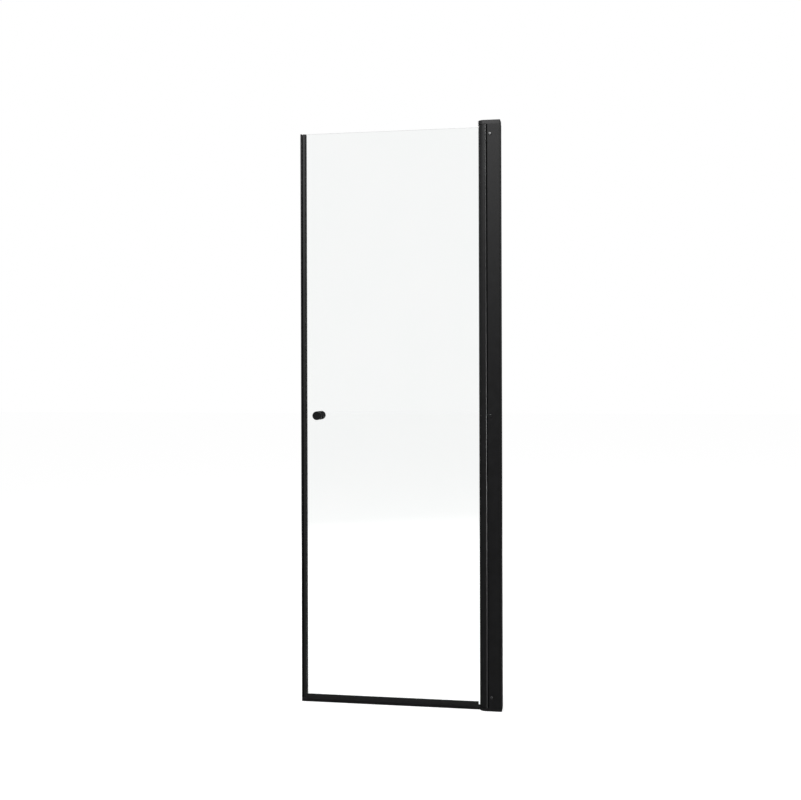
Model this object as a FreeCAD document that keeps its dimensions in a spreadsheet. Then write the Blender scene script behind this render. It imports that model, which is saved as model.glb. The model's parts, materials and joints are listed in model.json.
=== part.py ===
import FreeCAD, Part
import math
import os

import Sketcher

# Pivot shower door for a niche between two walls.
#
# Frame: +Z up, X across the niche from the strike wall to the hinge wall, Y from the room into the
# shower. The origin is on the floor, half way between the walls, in the middle plane of the glass.

Vector = FreeCAD.Vector

# Driving sizes in millimetres (angles in degrees): alias, value, what it is.
SIZES = (
    ("opening_width", 700, "wall to wall"),
    ("frame_height", 2000, "floor to the top of the hinge post"),
    ("glass_thickness", 6, "toughened glass"),
    ("glass_hole_radius", 6, "hole for the knob"),
    ("glass_arris", 0.4, "ground edge of the glass"),
    # clearances used everywhere
    ("press_gap", 0.02, "pressed together"),
    ("running_gap", 0.05, "pin in its bush"),
    ("fit_gap", 0.1, "pushed or clipped together"),
    ("slide_gap", 0.2, "slid over each other when mounting"),
    ("open_gap", 0.3, "next to each other without touching"),
    ("overcut", 1, "cutting outlines reach this far past what they cut"),
    # hinge post
    ("pivot_to_wall", 54.7, "pivot line to the hinge wall"),
    ("post_half_depth", 23.2, "half the depth of the post"),
    ("profile_wall", 1.8, "wall of the large extrusions"),
    ("lip_offset", 10, "pivot line to the edge of the jamb's lips"),
    ("jamb_to_wall", 4, "jamb profile to the hinge wall"),
    ("cup_clearance", 0.45, "stile to the cup of the jamb"),
    ("cup_wall", 2.5, "wall of the cup"),
    ("channel_wall", 1.6, "wall of the hinge wall channel"),
    ("channel_tip", 15.4, "pivot line to the tips of the channel's flanges"),
    ("top_cap_height", 13.5, "top bearing cap"),
    ("bottom_cap_height", 8.5, "bottom bearing cap"),
    ("cap_to_wall", 0.6, "bearing caps to the wall"),
    ("cap_chamfer", 1.4, "outer edges of the caps"),
    ("cap_boss_radius", 7, "boss round the upper pin"),
    ("cap_screw_offset", 24, "pivot line to the cap screws"),
    ("cap_screw_spacing", 22, "between the two cap screws"),
    ("port_radius", 3.4, "screw port in the jamb profile"),
    ("port_bore", 1.45, "bore of a screw port"),
    ("cap_screw_head", 2.2, "height of the heads of the cap screws"),
    ("spigot_start", 28, "pivot line to the caps' spigots"),
    ("spigot_length", 17, "spigot along X"),
    ("spigot_half_width", 18.2, "half the spigot along Y"),
    ("spigot_height", 6, "how far a spigot stands in the profile"),
    # hinge stile
    ("stile_radius", 21.6, "half-round nose of the stile"),
    ("stile_back", 7, "pivot line to the flat back of the stile"),
    ("stile_corner", 3.5, "rounding of its two back corners"),
    ("barrel_radius", 17, "tube round the pivot"),
    ("chamber_offset", 10, "pivot line to the flat side of the chamber"),
    ("end_gap", 0.8, "stile to the bearing caps when closed"),
    ("hollow_start_angle", 97, "angle where the hollows of the stile start"),
    ("hollow_end_angle", 156, "angle where they end"),
    ("gasket_thickness", 1.5, "glazing gasket"),
    # movement
    ("swing_limit_angle", 100, "widest opening"),
    ("quarter_rise", 5, "rise of the door for a quarter turn"),
    ("cam_radius", 9.5, "outside of the cams"),
    ("ramp_radius", 7, "inner edge of the ramps"),
    ("cam_foot", 4.5, "solid foot of the fixed cam"),
    ("cam_gap", 0.1, "between the cam faces, along Z"),
    ("cam_lash_angle", 1.5, "angle between the stop faces when closed"),
    ("cam_key_width", 3, "keys under the fixed cam"),
    ("cam_key_depth", 3, "depth of those keys"),
    ("follower_height", 70, "body of the cam follower"),
    ("chamber_slack", 0.15, "inserts in the chamber of the stile"),
    ("grub_radius", 2, "grub screws of the follower"),
    ("grub_length", 8, "length of a grub screw"),
    ("grub_spacing", 40, "between the grub screws"),
    ("pin_radius", 4, "pivot pins"),
    ("lower_pin_height", 90, "lower pin above its cap"),
    ("upper_pin_drop", 78, "upper pin below its cap"),
    ("pin_chamfer", 0.6, "pin ends"),
    ("collar_height", 70, "pivot collar"),
    ("collar_play", 0.4, "pivot collar under the boss of the top cap"),
    ("clip_thickness", 1, "retaining clip"),
    ("clip_radius", 6.4, "outside of the clip"),
    ("clip_groove", 0.8, "depth of the groove for the clip"),
    ("stop_radius", 18.4, "inner edge of the stop rib"),
    ("stop_margin_angle", 1, "angle left at the stop"),
    ("rib_angle", 3, "thickness of the two ribs as an angle"),
    ("seal_foot_angle", 10, "foot of the wiper seal as an angle"),
    ("seal_neck", 1.5, "inner edge of the stop rib to the foot of the wiper seal"),
    # adjusting screws
    ("adjust_offset", 19.6, "pivot line to the adjusting screws"),
    ("adjust_inset", 47, "end screws from the ends of the post"),
    ("adjust_radius", 1.75, "shank"),
    ("adjust_head", 5.2, "radius of the raised head"),
    ("adjust_head_height", 2.9, "height of the raised head"),
    # wall fixings
    ("fixing_radius", 2.6, "holes for the wall screws"),
    ("fixing_outer_spacing", 1700, "between the outer two holes"),
    ("fixing_inner_spacing", 600, "between the inner two holes"),
    # strike side, measured from the strike wall
    ("strike_front", 4.5, "front of the strike, before the glass plane"),
    ("strike_back", 22.6, "back of the strike, behind the glass plane"),
    ("strike_wall", 1.8, "wall of the strike channel"),
    ("strike_lip", 5, "width of its front lip"),
    ("strike_flange", 13, "width of its rear flange"),
    ("strike_inset", 5.6, "strike wall to the jamb profile"),
    ("strike_width", 17, "strike wall to the front of the jamb profile"),
    ("strike_rebate", 9, "glass plane to the face of the jamb profile"),
    ("strike_skin", 1.5, "wall of the strike jamb profile"),
    ("strike_pocket", 5, "depth of the pocket for the magnet"),
    ("strike_cap", 2, "end caps of the strike"),
    ("strike_rise", 1, "strike above the glass"),
    ("carrier_wall", 1.3, "side walls of the magnet carrier"),
    ("carrier_face", 0.8, "face of the magnet carrier"),
    ("strike_screw_offset", 9.5, "strike wall to the strike screws"),
    ("strike_screw_radius", 1.7, "shank"),
    ("strike_head_radius", 3.1, "head"),
    ("strike_head_height", 1.8, "head"),
    ("strike_screw_length", 5, "shank"),
    ("edge_seal_start", 8.3, "strike wall to the edge seal"),
    ("edge_seal_wall", 1.3, "wall of the edge seal"),
    ("edge_seal_gap", 0.5, "edge seal to the strike when closed"),
    ("magnet_depth", 3, "magnet strips along Y"),
    # threshold and bottom seal
    ("threshold_front", 6.2, "front face before the glass plane"),
    ("threshold_back", 23.8, "back edge behind the glass plane"),
    ("threshold_height", 12, "height under the door"),
    ("threshold_nose", 1.2, "chamfer of the front edge"),
    ("threshold_skin", 1.6, "wall of the threshold"),
    ("threshold_tail", 4, "height of the back edge"),
    ("dam_start", 8.5, "glass plane to the water dam"),
    ("dam_width", 1.3, "water dam"),
    ("dam_height", 2.3, "water dam above the threshold"),
    ("end_piece_width", 3, "end plate at the strike"),
    ("end_piece_reach", 36, "pivot line to the hinge end of the threshold"),
    ("end_piece_stop", 15, "pivot line to the end piece behind the stile"),
    ("end_spigot", 8, "spigots of the end pieces"),
    ("fin_clearance", 0.4, "bottom seal above the threshold"),
    ("fin_drop", 2.4, "fins below the seal's web"),
    ("seal_wall", 1.3, "legs and web of the bottom seal"),
    ("seal_leg", 9.5, "legs above the edge of the glass"),
    ("seal_end", 26.2, "pivot line to the end of the bottom seal"),
    # knobs
    ("knob_inset", 54, "knob centre to the free edge of the glass"),
    ("knob_radius", 15, "knob"),
    ("knob_length", 34, "knob"),
    ("knob_neck_radius", 11, "neck of the knob"),
    ("knob_neck", 2.5, "length of the neck"),
    ("knob_chamfer", 1.2, "outer edge of the knob"),
    ("knob_washer", 1, "flanges of the grommet, between knob and glass"),
    ("stud_radius", 3, "stud through the glass"),
    ("stud_depth", 18, "stud in the outer knob"),
)


class Size:
    """A number together with the spreadsheet expression that gives it."""

    def __init__(self, value, text=None):
        self.value = float(value)
        self.text = text if text is not None else repr(float(value))

    def _join(self, other, sign, value):
        return Size(value, "(%s %s %s)" % (self.text, sign, other.text))

    def __add__(self, other):
        other = size(other)
        return self._join(other, "+", self.value + other.value)

    def __sub__(self, other):
        other = size(other)
        return self._join(other, "-", self.value - other.value)

    def __mul__(self, other):
        other = size(other)
        return self._join(other, "*", self.value * other.value)

    def __truediv__(self, other):
        other = size(other)
        return self._join(other, "/", self.value / other.value)

    def __neg__(self):
        return Size(-self.value, "(0 - %s)" % self.text)


def size(number):
    """Turn a plain number into a Size; leave a Size as it is."""
    return number if isinstance(number, Size) else Size(number)


def root(number):
    """Square root of a Size."""
    return Size(math.sqrt(number.value), "sqrt(%s)" % number.text)


def chord(radius, offset):
    """Half chord of a circle at a distance from its centre."""
    return root(radius * radius - offset * offset)


def cosine(angle):
    """Cosine of an angle in degrees."""
    return Size(math.cos(math.radians(angle.value)), "cos(%s)" % angle.text)


def sine(angle):
    """Sine of an angle in degrees."""
    return Size(math.sin(math.radians(angle.value)), "sin(%s)" % angle.text)


def arc_cosine(ratio):
    """Angle in degrees whose cosine is the ratio."""
    value = math.degrees(math.acos(ratio.value))
    return Size(value, "(acos(%s) / 1 deg)" % ratio.text)


ZERO = size(0)
LEAST_CUT = 1e-3
doc = FreeCAD.newDocument("PivotShowerDoor")


def write_sheet():
    """Write the driving sizes into the spreadsheet and return them by name."""
    sheet = doc.addObject("Spreadsheet::Sheet", "Sizes")
    named = {}
    for row, (alias, value, meaning) in enumerate(SIZES, start=1):
        sheet.set("A%d" % row, alias)
        sheet.set("B%d" % row, str(value))
        sheet.set("C%d" % row, meaning)
        sheet.setAlias("B%d" % row, alias)
        named[alias] = Size(value, "Sizes.%s" % alias)
    doc.recompute()
    return named


S = write_sheet()


class Arc:
    """A round stretch of an outline, from its corner to the next one."""

    def __init__(self, centre, radius, turn=1, half=False):
        self.centre = centre
        self.radius = radius
        self.turn = turn
        self.half = half


def hold(sketch, geometry, point, x, y):
    """Tie a point of a sketch to its place."""
    for kind, place in (("DistanceX", x), ("DistanceY", y)):
        if place is None:
            continue
        index = sketch.addConstraint(Sketcher.Constraint(kind, -1, 1, geometry, point, place.value))
        sketch.setExpression("Constraints[%d]" % index, place.text)


def outline(sketch, corners):
    """Draw a closed outline: (x, y) for a straight side, (x, y, Arc) for a round one."""
    corners = [(size(c[0]), size(c[1]), c[2] if len(c) > 2 else None) for c in corners]
    count = len(corners)
    first = sketch.GeometryCount
    ends = []
    for index, (x, y, arc) in enumerate(corners):
        next_x, next_y, _ = corners[(index + 1) % count]
        here = Vector(x.value, y.value, 0)
        there = Vector(next_x.value, next_y.value, 0)
        if arc is None:
            sketch.addGeometry(Part.LineSegment(here, there), False)
            ends.append((1, 2))
            continue
        centre = Vector(size(arc.centre[0]).value, size(arc.centre[1]).value, 0)
        angles = [math.atan2(p.y - centre.y, p.x - centre.x) for p in (here, there)]
        circle = Part.Circle(centre, Vector(0, 0, 1), arc.radius.value)
        if arc.turn < 0:
            angles.reverse()
        sketch.addGeometry(Part.ArcOfCircle(circle, angles[0], angles[1]), False)
        ends.append((1, 2) if arc.turn > 0 else (2, 1))
    for index, (x, y, arc) in enumerate(corners):
        after = (index + 1) % count
        sketch.addConstraint(
            Sketcher.Constraint(
                "Coincident", first + index, ends[index][1], first + after, ends[after][0]
            )
        )
        hold(sketch, first + index, ends[index][0], x, y)
        if arc is None:
            continue
        if arc.half:
            hold(sketch, first + index, 3, size(arc.centre[0]), None)
            continue
        constraint = Sketcher.Constraint("Radius", first + index, arc.radius.value)
        number = sketch.addConstraint(constraint)
        sketch.setExpression("Constraints[%d]" % number, arc.radius.text)


def box(sketch, low_x, high_x, low_y, high_y):
    """Draw a rectangle."""
    outline(sketch, [(low_x, low_y), (high_x, low_y), (high_x, high_y), (low_x, high_y)])


def circle(sketch, radius, x=ZERO, y=ZERO):
    """Draw a circle."""
    x, y, radius = size(x), size(y), size(radius)
    centre = Vector(x.value, y.value, 0)
    geometry = sketch.addGeometry(Part.Circle(centre, Vector(0, 0, 1), radius.value), False)
    number = sketch.addConstraint(Sketcher.Constraint("Radius", geometry, radius.value))
    sketch.setExpression("Constraints[%d]" % number, radius.text)
    hold(sketch, geometry, 3, x, y)


def sector(sketch, inner, outer, start, end, flip=1):
    """Draw a piece of a ring between two angles, mirrored in Y when flip is -1."""
    corners = []
    for radius, angle in ((inner, start), (outer, start), (outer, end), (inner, end)):
        corners.append([radius * cosine(angle), radius * sine(angle) * flip])
    corners[1].append(Arc((ZERO, ZERO), outer, flip))
    corners[3].append(Arc((ZERO, ZERO), inner, -flip))
    outline(sketch, corners)


def half_round_box(sketch, radius, right):
    """Draw a rectangle whose left end is a half circle round the origin."""
    nose = Arc((ZERO, ZERO), radius, 1, half=True)
    outline(sketch, [(0, radius, nose), (0, -radius), (right, -radius), (right, radius)])


def chamber(sketch, radius, flat):
    """Draw the D-shaped room of the stile: a circle cut off at the left."""
    height = chord(radius, flat)
    bow = Arc((ZERO, ZERO), radius, 1)
    outline(sketch, [(-flat, -height, bow), (-flat, height)])


def vertical_edges(shape, x, y, reach=0.05):
    """Names of the upright edges of a shape that stand at a place."""
    found = []
    for number, edge in enumerate(shape.Edges, start=1):
        points = [vertex.Point for vertex in edge.Vertexes]
        if len(points) == 2 and abs(points[0].z - points[1].z) > 1:
            if all(math.hypot(p.x - x, p.y - y) < reach for p in points):
                found.append("Edge%d" % number)
    return found


def edges_at_level(shape, level, reach=0.01):
    """Names of all edges of a shape that lie at a height."""
    return [
        "Edge%d" % number
        for number, edge in enumerate(shape.Edges, start=1)
        if abs(edge.BoundBox.ZMin - level) < reach and abs(edge.BoundBox.ZMax - level) < reach
    ]


class Piece:
    """One sub-part: a body at its place, with its sketches and features."""

    def __init__(self, label, x=ZERO, y=ZERO, z=ZERO):
        self.body = doc.addObject("PartDesign::Body", label)
        self.body.Label = label
        self.label = label
        for axis, place in zip("xyz", (x, y, z)):
            self.body.setExpression("Placement.Base.%s" % axis, size(place).text)
        self.count = 0
        pieces.append(self)

    def _name(self, kind):
        self.count += 1
        return "%s_%s_%d" % (self.label, kind, self.count)

    def sketch(self, role="XY_Plane", level=ZERO):
        """Start a sketch on an origin plane, moved along its normal."""
        sketch = self.body.newObject("Sketcher::SketchObject", self._name("sketch"))
        plane = [f for f in self.body.Origin.OriginFeatures if f.Role == role][0]
        sketch.AttachmentSupport = [(plane, "")]
        sketch.MapMode = "FlatFace"
        sketch.setExpression("AttachmentOffset.Base.z", size(level).text)
        return sketch

    def _feature(self, kind, sketch, length, both):
        feature = self.body.newObject("PartDesign::" + kind, self._name(kind.lower()))
        feature.Profile = sketch
        feature.setExpression("Length", size(length).text)
        feature.Midplane = both
        sketch.Visibility = False
        return feature

    def pad(self, sketch, length, both=False, backwards=False):
        """Add material along the normal of the sketch."""
        feature = self._feature("Pad", sketch, length, both)
        feature.Reversed = backwards
        return feature

    def cut(self, sketch, length, both=False, backwards=False):
        """Take material away along the normal of the sketch."""
        doc.recompute()
        before = self.body.Shape.Volume
        feature = self._feature("Pocket", sketch, length, both)
        feature.Reversed = not backwards
        self._check_cut(feature, before)
        return feature

    def _check_cut(self, feature, before):
        """Recompute the piece and check that its volume went down."""
        doc.recompute()
        if not self.body.Shape.Volume < before - LEAST_CUT:
            raise RuntimeError("%s cuts nothing" % feature.Name)

    def revolve(self, sketch):
        """Turn an outline about the vertical axis of its sketch."""
        feature = self.body.newObject("PartDesign::Revolution", self._name("revolution"))
        feature.Profile = sketch
        feature.ReferenceAxis = (sketch, ["V_Axis"])
        feature.Angle = 360
        sketch.Visibility = False
        return feature

    def helix_cut(self, sketch, pitch, turns):
        """Take away what an outline sweeps along a screw line, twice, half a turn apart."""
        doc.recompute()
        before = self.body.Shape.Volume
        feature = self.body.newObject("PartDesign::SubtractiveHelix", self._name("helix"))
        feature.Profile = sketch
        feature.ReferenceAxis = (sketch, ["V_Axis"])
        feature.Mode = "pitch-turns-angle"
        feature.setExpression("Pitch", size(pitch).text)
        feature.Turns = turns
        pattern = self.body.newObject("PartDesign::PolarPattern", self._name("polar"))
        pattern.Originals = [feature]
        pattern.Axis = (sketch, ["V_Axis"])
        pattern.Angle = 360
        pattern.Occurrences = 2
        self.body.Tip = pattern
        self._check_cut(feature, before)

    def repeat(self, feature, sketch, length, occurrences, axis="N_Axis", backwards=False):
        """Repeat a feature in a row."""
        pattern = self.body.newObject("PartDesign::LinearPattern", self._name("row"))
        pattern.Originals = [feature]
        pattern.Direction = (sketch, [axis])
        pattern.setExpression("Length", size(length).text)
        pattern.Occurrences = occurrences
        pattern.Reversed = backwards
        self.body.Tip = pattern

    def round_edges(self, names, radius, kind="Fillet"):
        """Round the named edges of the piece as it is now, or chamfer them."""
        if not names:
            raise RuntimeError("%s has no edge to round" % self.label)
        base = self.body.Tip
        feature = self.body.newObject("PartDesign::" + kind, self._name(kind.lower()))
        feature.Base = (base, names)
        feature.setExpression("Radius" if kind == "Fillet" else "Size", size(radius).text)
        self.body.Tip = feature

    def shape(self):
        """The piece as built so far, in its own frame."""
        doc.recompute()
        shape = self.body.Tip.Shape.copy()
        shape.Placement = FreeCAD.Placement()
        return shape


pieces = []

# Places worked out from the sizes.
HALF_WIDTH = S["opening_width"] / 2
STRIKE_WALL = -HALF_WIDTH
PIVOT = HALF_WIDTH - S["pivot_to_wall"]
MIDDLE = S["frame_height"] / 2
TOP_SEAT = S["frame_height"] - S["top_cap_height"]
BOTTOM_SEAT = S["bottom_cap_height"]
LIFT = S["quarter_rise"] * S["swing_limit_angle"] / 90
STILE_BOTTOM = BOTTOM_SEAT + S["end_gap"]
STILE_TOP = TOP_SEAT - S["end_gap"]
CUP_RADIUS = S["stile_radius"] + S["cup_clearance"]
CUP_OUTSIDE = CUP_RADIUS + S["cup_wall"]
HALF_GLASS = S["glass_thickness"] / 2
FIN_LEVEL = S["threshold_height"] + S["fin_clearance"]
SEAL_WEB = FIN_LEVEL + S["fin_drop"]
GLASS_BOTTOM = SEAL_WEB + S["seal_wall"] + S["fit_gap"]
GLASS_TOP = TOP_SEAT - LIFT - S["end_gap"] - S["open_gap"]
STRIKE_TOP = GLASS_TOP + S["strike_rise"]
SLOT_FLOOR = S["chamber_offset"] + S["profile_wall"]
SLOT_HALF = HALF_GLASS + S["gasket_thickness"] + S["fit_gap"]
GLASS_EDGE = SLOT_FLOOR + S["gasket_thickness"] + S["fit_gap"] * 2
GLASS_LEFT = S["edge_seal_start"] + S["edge_seal_wall"] + S["fit_gap"]
STOP_ANGLE = S["swing_limit_angle"] - arc_cosine(S["stile_back"] / S["stop_radius"]) + S["stop_margin_angle"]
FOOT_ANGLE = STOP_ANGLE + S["rib_angle"]
SECOND_RIB = FOOT_ANGLE + S["seal_foot_angle"]
CAM_LEVEL = BOTTOM_SEAT + S["cam_foot"]
CAM_TOP = CAM_LEVEL + S["quarter_rise"] * 2
CAM_PITCH = S["quarter_rise"] * 4
ADJUST_SPREAD = S["frame_height"] - S["adjust_inset"] * 2
PIN_SEAT = S["profile_wall"] + S["slide_gap"]


def extrusion(piece, draw, low, high):
    """Pad what draw puts into a level sketch, from one height to another."""
    sketch = piece.sketch(level=low)
    draw(sketch)
    return piece.pad(sketch, high - low)


def groove(piece, draw, low, high):
    """Cut what draw puts into a level sketch, from one height to another."""
    sketch = piece.sketch(level=low)
    draw(sketch)
    return piece.cut(sketch, high - low)


def hinge_wall_channel():
    """U channel on the hinge wall; the jamb profile slides over it to take up an uneven wall."""
    piece = Piece("hinge_wall_channel", x=PIVOT)
    inner_half = S["post_half_depth"] - S["profile_wall"] - S["slide_gap"]
    flange = inner_half - S["channel_wall"]
    tip = S["channel_tip"]
    web = S["pivot_to_wall"] - S["channel_wall"]
    wall = S["pivot_to_wall"]
    low = BOTTOM_SEAT + S["slide_gap"]
    high = TOP_SEAT - S["slide_gap"]

    def section(sketch):
        outline(sketch, [
            (tip, -inner_half), (wall, -inner_half), (wall, inner_half), (tip, inner_half),
            (tip, flange), (web, flange), (web, -flange), (tip, -flange),
        ])

    extrusion(piece, section, low, high)
    holes = piece.sketch("YZ_Plane", web - S["overcut"])
    for spread in (S["fixing_outer_spacing"], S["fixing_inner_spacing"]):
        for side in (-0.5, 0.5):
            circle(holes, S["fixing_radius"], ZERO, MIDDLE + spread * side)
    piece.cut(holes, S["channel_wall"] + S["overcut"] * 2)
    pilots = piece.sketch("XZ_Plane", flange - S["overcut"])
    for side in (-0.5, 0, 0.5):
        circle(pilots, S["adjust_radius"] + S["running_gap"], S["adjust_offset"],
               MIDDLE + ADJUST_SPREAD * side)
    piece.cut(pilots, S["channel_wall"] + S["overcut"] * 2)


def hinge_jamb_profile():
    """Fixed half of the post: a cup for the round stile, lips, screw ports and the stop rib."""
    piece = Piece("hinge_jamb_profile", x=PIVOT)
    low, high = BOTTOM_SEAT, TOP_SEAT
    right = S["pivot_to_wall"] - S["jamb_to_wall"]
    inner_half = S["post_half_depth"] - S["profile_wall"]
    port_y = S["cap_screw_spacing"] / 2

    def block(sketch):
        box(sketch, S["lip_offset"], right, -S["post_half_depth"], S["post_half_depth"])

    def room(sketch):
        start = chord(CUP_OUTSIDE, inner_half)
        bow = Arc((ZERO, ZERO), CUP_OUTSIDE, -1)
        far = right + S["overcut"]
        outline(sketch, [
            (start, inner_half, bow), (start, -inner_half), (far, -inner_half), (far, inner_half),
        ])

    def ports(sketch):
        for side in (-1, 1):
            circle(sketch, S["port_radius"], S["cap_screw_offset"], port_y * side)

    def ribs(sketch):
        root_radius = CUP_RADIUS + S["cup_wall"] / 2
        sector(sketch, S["stop_radius"], root_radius, STOP_ANGLE, FOOT_ANGLE)
        inner = S["stop_radius"] + S["seal_neck"]
        sector(sketch, inner, root_radius, SECOND_RIB, SECOND_RIB + S["rib_angle"])

    def bores(sketch):
        for side in (-1, 1):
            circle(sketch, S["port_bore"], S["cap_screw_offset"], port_y * side)

    extrusion(piece, block, low, high)
    groove(piece, lambda sketch: circle(sketch, CUP_RADIUS), low, high)
    groove(piece, room, low, high)
    extrusion(piece, ports, low, high)
    extrusion(piece, ribs, low, high)
    groove(piece, bores, low, high)
    holes = piece.sketch("XZ_Plane", inner_half - S["overcut"])
    for side in (-0.5, 0, 0.5):
        circle(holes, S["adjust_radius"] + S["slide_gap"], S["adjust_offset"],
               MIDDLE + ADJUST_SPREAD * side)
    piece.cut(holes, S["profile_wall"] + S["overcut"] * 2)


def post_seal():
    """Wiper between the cup and the barrel of the stile, its foot held between the two ribs."""
    piece = Piece("post_seal", x=PIVOT)
    low = BOTTOM_SEAT + S["slide_gap"]
    high = TOP_SEAT - S["slide_gap"]
    slack = S["stop_margin_angle"] / 2
    tip = S["barrel_radius"] + S["open_gap"]
    neck = S["stop_radius"] + S["seal_neck"]
    outer = CUP_RADIUS - S["fit_gap"]
    blade = FOOT_ANGLE + S["seal_foot_angle"] / 2
    half_blade = S["rib_angle"] / 2

    def section(sketch):
        sector(sketch, neck, outer, FOOT_ANGLE + slack, SECOND_RIB - slack)

    def lip(sketch):
        sector(sketch, tip, neck + S["fit_gap"], blade - half_blade, blade + half_blade)

    extrusion(piece, section, low, high)
    extrusion(piece, lip, low, high)


def cap_bores(piece, face, depth, backwards):
    """Two screw holes with counterbores, from the outer face of a bearing cap."""
    for radius, reach in (
        (S["port_bore"] + S["slide_gap"] * 2, depth),
        (S["port_radius"] + S["slide_gap"], S["cap_screw_head"] + S["slide_gap"] * 2),
    ):
        sketch = piece.sketch(level=face)
        for side in (-0.5, 0.5):
            circle(sketch, radius, S["cap_screw_offset"], S["cap_screw_spacing"] * side)
        piece.cut(sketch, reach, backwards=backwards)


def spigot(sketch):
    """Outline of the block that centres a bearing cap in the jamb profile."""
    start = S["spigot_start"]
    half = S["spigot_half_width"]
    box(sketch, start, start + S["spigot_length"], -half, half)


def bottom_bearing_cap():
    """Foot of the post: carries the fixed cam and the lower pin."""
    piece = Piece("bottom_bearing_cap", x=PIVOT)
    right = S["pivot_to_wall"] - S["cap_to_wall"]
    extrusion(piece, lambda sketch: half_round_box(sketch, S["post_half_depth"], right),
              ZERO, BOTTOM_SEAT)
    piece.round_edges(edges_at_level(piece.shape(), 0), S["cap_chamfer"], "Chamfer")
    extrusion(piece, spigot, BOTTOM_SEAT, BOTTOM_SEAT + S["spigot_height"])
    cap_bores(piece, ZERO, BOTTOM_SEAT, False)
    sketch = piece.sketch(level=BOTTOM_SEAT)
    circle(sketch, S["pin_radius"] + S["press_gap"])
    piece.cut(sketch, BOTTOM_SEAT - S["profile_wall"], backwards=True)
    keys = piece.sketch(level=BOTTOM_SEAT)
    cam_keys(keys, S["chamber_slack"])
    piece.cut(keys, S["cam_key_depth"] + S["chamber_slack"], backwards=True)


def cam_keys(sketch, slack):
    """Draw the two keys of the fixed cam, or their pockets."""
    middle = (S["cam_radius"] + S["pin_radius"]) / 2
    half = S["cam_key_width"] / 2 + slack
    for side in (-1, 1):
        box(sketch, middle * side - half, middle * side + half, -half, half)


def top_bearing_cap():
    """Head of the post: holds the upper pin and hides the rising end of the stile."""
    piece = Piece("top_bearing_cap", x=PIVOT)
    right = S["pivot_to_wall"] - S["cap_to_wall"]
    top = S["frame_height"]
    extrusion(piece, lambda sketch: half_round_box(sketch, S["post_half_depth"], right),
              TOP_SEAT, top)
    piece.round_edges(edges_at_level(piece.shape(), top.value), S["cap_chamfer"], "Chamfer")
    extrusion(piece, spigot, TOP_SEAT - S["spigot_height"], TOP_SEAT)
    cap_bores(piece, top, S["top_cap_height"], True)

    def cavity(sketch):
        circle(sketch, CUP_RADIUS)
        circle(sketch, S["cap_boss_radius"])

    groove(piece, cavity, TOP_SEAT, TOP_SEAT + LIFT + S["open_gap"])
    bore = piece.sketch(level=TOP_SEAT)
    circle(bore, S["pin_radius"] + S["press_gap"])
    piece.cut(bore, S["top_cap_height"] - S["profile_wall"])


def cap_screws():
    """Four screws that hold the bearing caps on the ends of the jamb profile."""
    piece = Piece("cap_screws", x=PIVOT + S["cap_screw_offset"], y=-S["cap_screw_spacing"] / 2)
    head = S["port_radius"] - S["slide_gap"]
    shank = S["port_bore"] - S["running_gap"]
    for face, upside in ((S["frame_height"], 1), (ZERO, -1)):
        near = face - S["slide_gap"] * upside
        seat = near - S["cap_screw_head"] * upside
        tip = seat - S["spigot_length"] * upside
        sketch = piece.sketch("XZ_Plane")
        outline(sketch, [
            (0, near), (head, near), (head, seat), (shank, seat), (shank, tip), (0, tip),
        ])
        turned = piece.revolve(sketch)
        piece.repeat(turned, sketch, S["cap_screw_spacing"], 2, backwards=True)


def adjust_screws():
    """Three screws with raised heads, through the face of the post into the wall channel."""
    piece = Piece("adjust_screws", x=PIVOT + S["adjust_offset"], y=-S["post_half_depth"],
                  z=S["adjust_inset"])
    head = S["adjust_head"]
    height = S["adjust_head_height"]
    slope = height / 2
    length = S["profile_wall"] + S["slide_gap"] + S["channel_wall"] + S["overcut"]
    sketch = piece.sketch("XY_Plane")
    outline(sketch, [
        (0, -height), (head - slope, -height), (head, -slope), (head, 0), (S["adjust_radius"], 0),
        (S["adjust_radius"], length), (0, length),
    ])
    turned = piece.revolve(sketch)
    piece.repeat(turned, sketch, ADJUST_SPREAD, 3)


def pivot_pin(label, seat, tip, upside, groove_level=None):
    """A steel pivot pin with a chamfered tip, and a groove for the clip where it has one."""
    piece = Piece(label, x=PIVOT)
    radius = S["pin_radius"]
    chamfer = S["pin_chamfer"]
    sketch = piece.sketch("XZ_Plane")
    corners = [(0, tip), (radius - chamfer, tip), (radius, tip - chamfer * upside)]
    if groove_level is not None:
        deep = radius - S["clip_groove"]
        thick = S["clip_thickness"] + S["fit_gap"] * 2
        corners += [
            (radius, groove_level), (deep, groove_level), (deep, groove_level + thick),
            (radius, groove_level + thick),
        ]
    corners += [(radius, seat), (0, seat)]
    outline(sketch, corners)
    piece.revolve(sketch)


COLLAR_TOP = TOP_SEAT - S["collar_play"]
COLLAR_BOTTOM = COLLAR_TOP - S["collar_height"]
CLIP_LEVEL = COLLAR_BOTTOM - S["open_gap"] - S["clip_thickness"]


def pivot_collar():
    """Slides in the chamber of the stile and turns with it on the upper pin, without rising."""
    piece = Piece("pivot_collar", x=PIVOT)
    slack = S["chamber_slack"]
    radius = S["barrel_radius"] - S["profile_wall"] - slack

    def section(sketch):
        chamber(sketch, radius, S["chamber_offset"] - slack)
        circle(sketch, S["pin_radius"] + S["running_gap"])

    extrusion(piece, section, COLLAR_BOTTOM, COLLAR_TOP)


def collar_clip():
    """Open retaining ring in the groove of the upper pin."""
    piece = Piece("collar_clip", x=PIVOT)
    inner = S["pin_radius"] - S["clip_groove"] + S["running_gap"]
    level = CLIP_LEVEL

    def ring(sketch):
        circle(sketch, S["clip_radius"])
        circle(sketch, inner)

    def mouth(sketch):
        half = S["pin_radius"] / 2
        box(sketch, -S["clip_radius"] - S["overcut"], 0, -half, half)

    extrusion(piece, ring, level, level + S["clip_thickness"])
    groove(piece, mouth, level, level + S["clip_thickness"])


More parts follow.
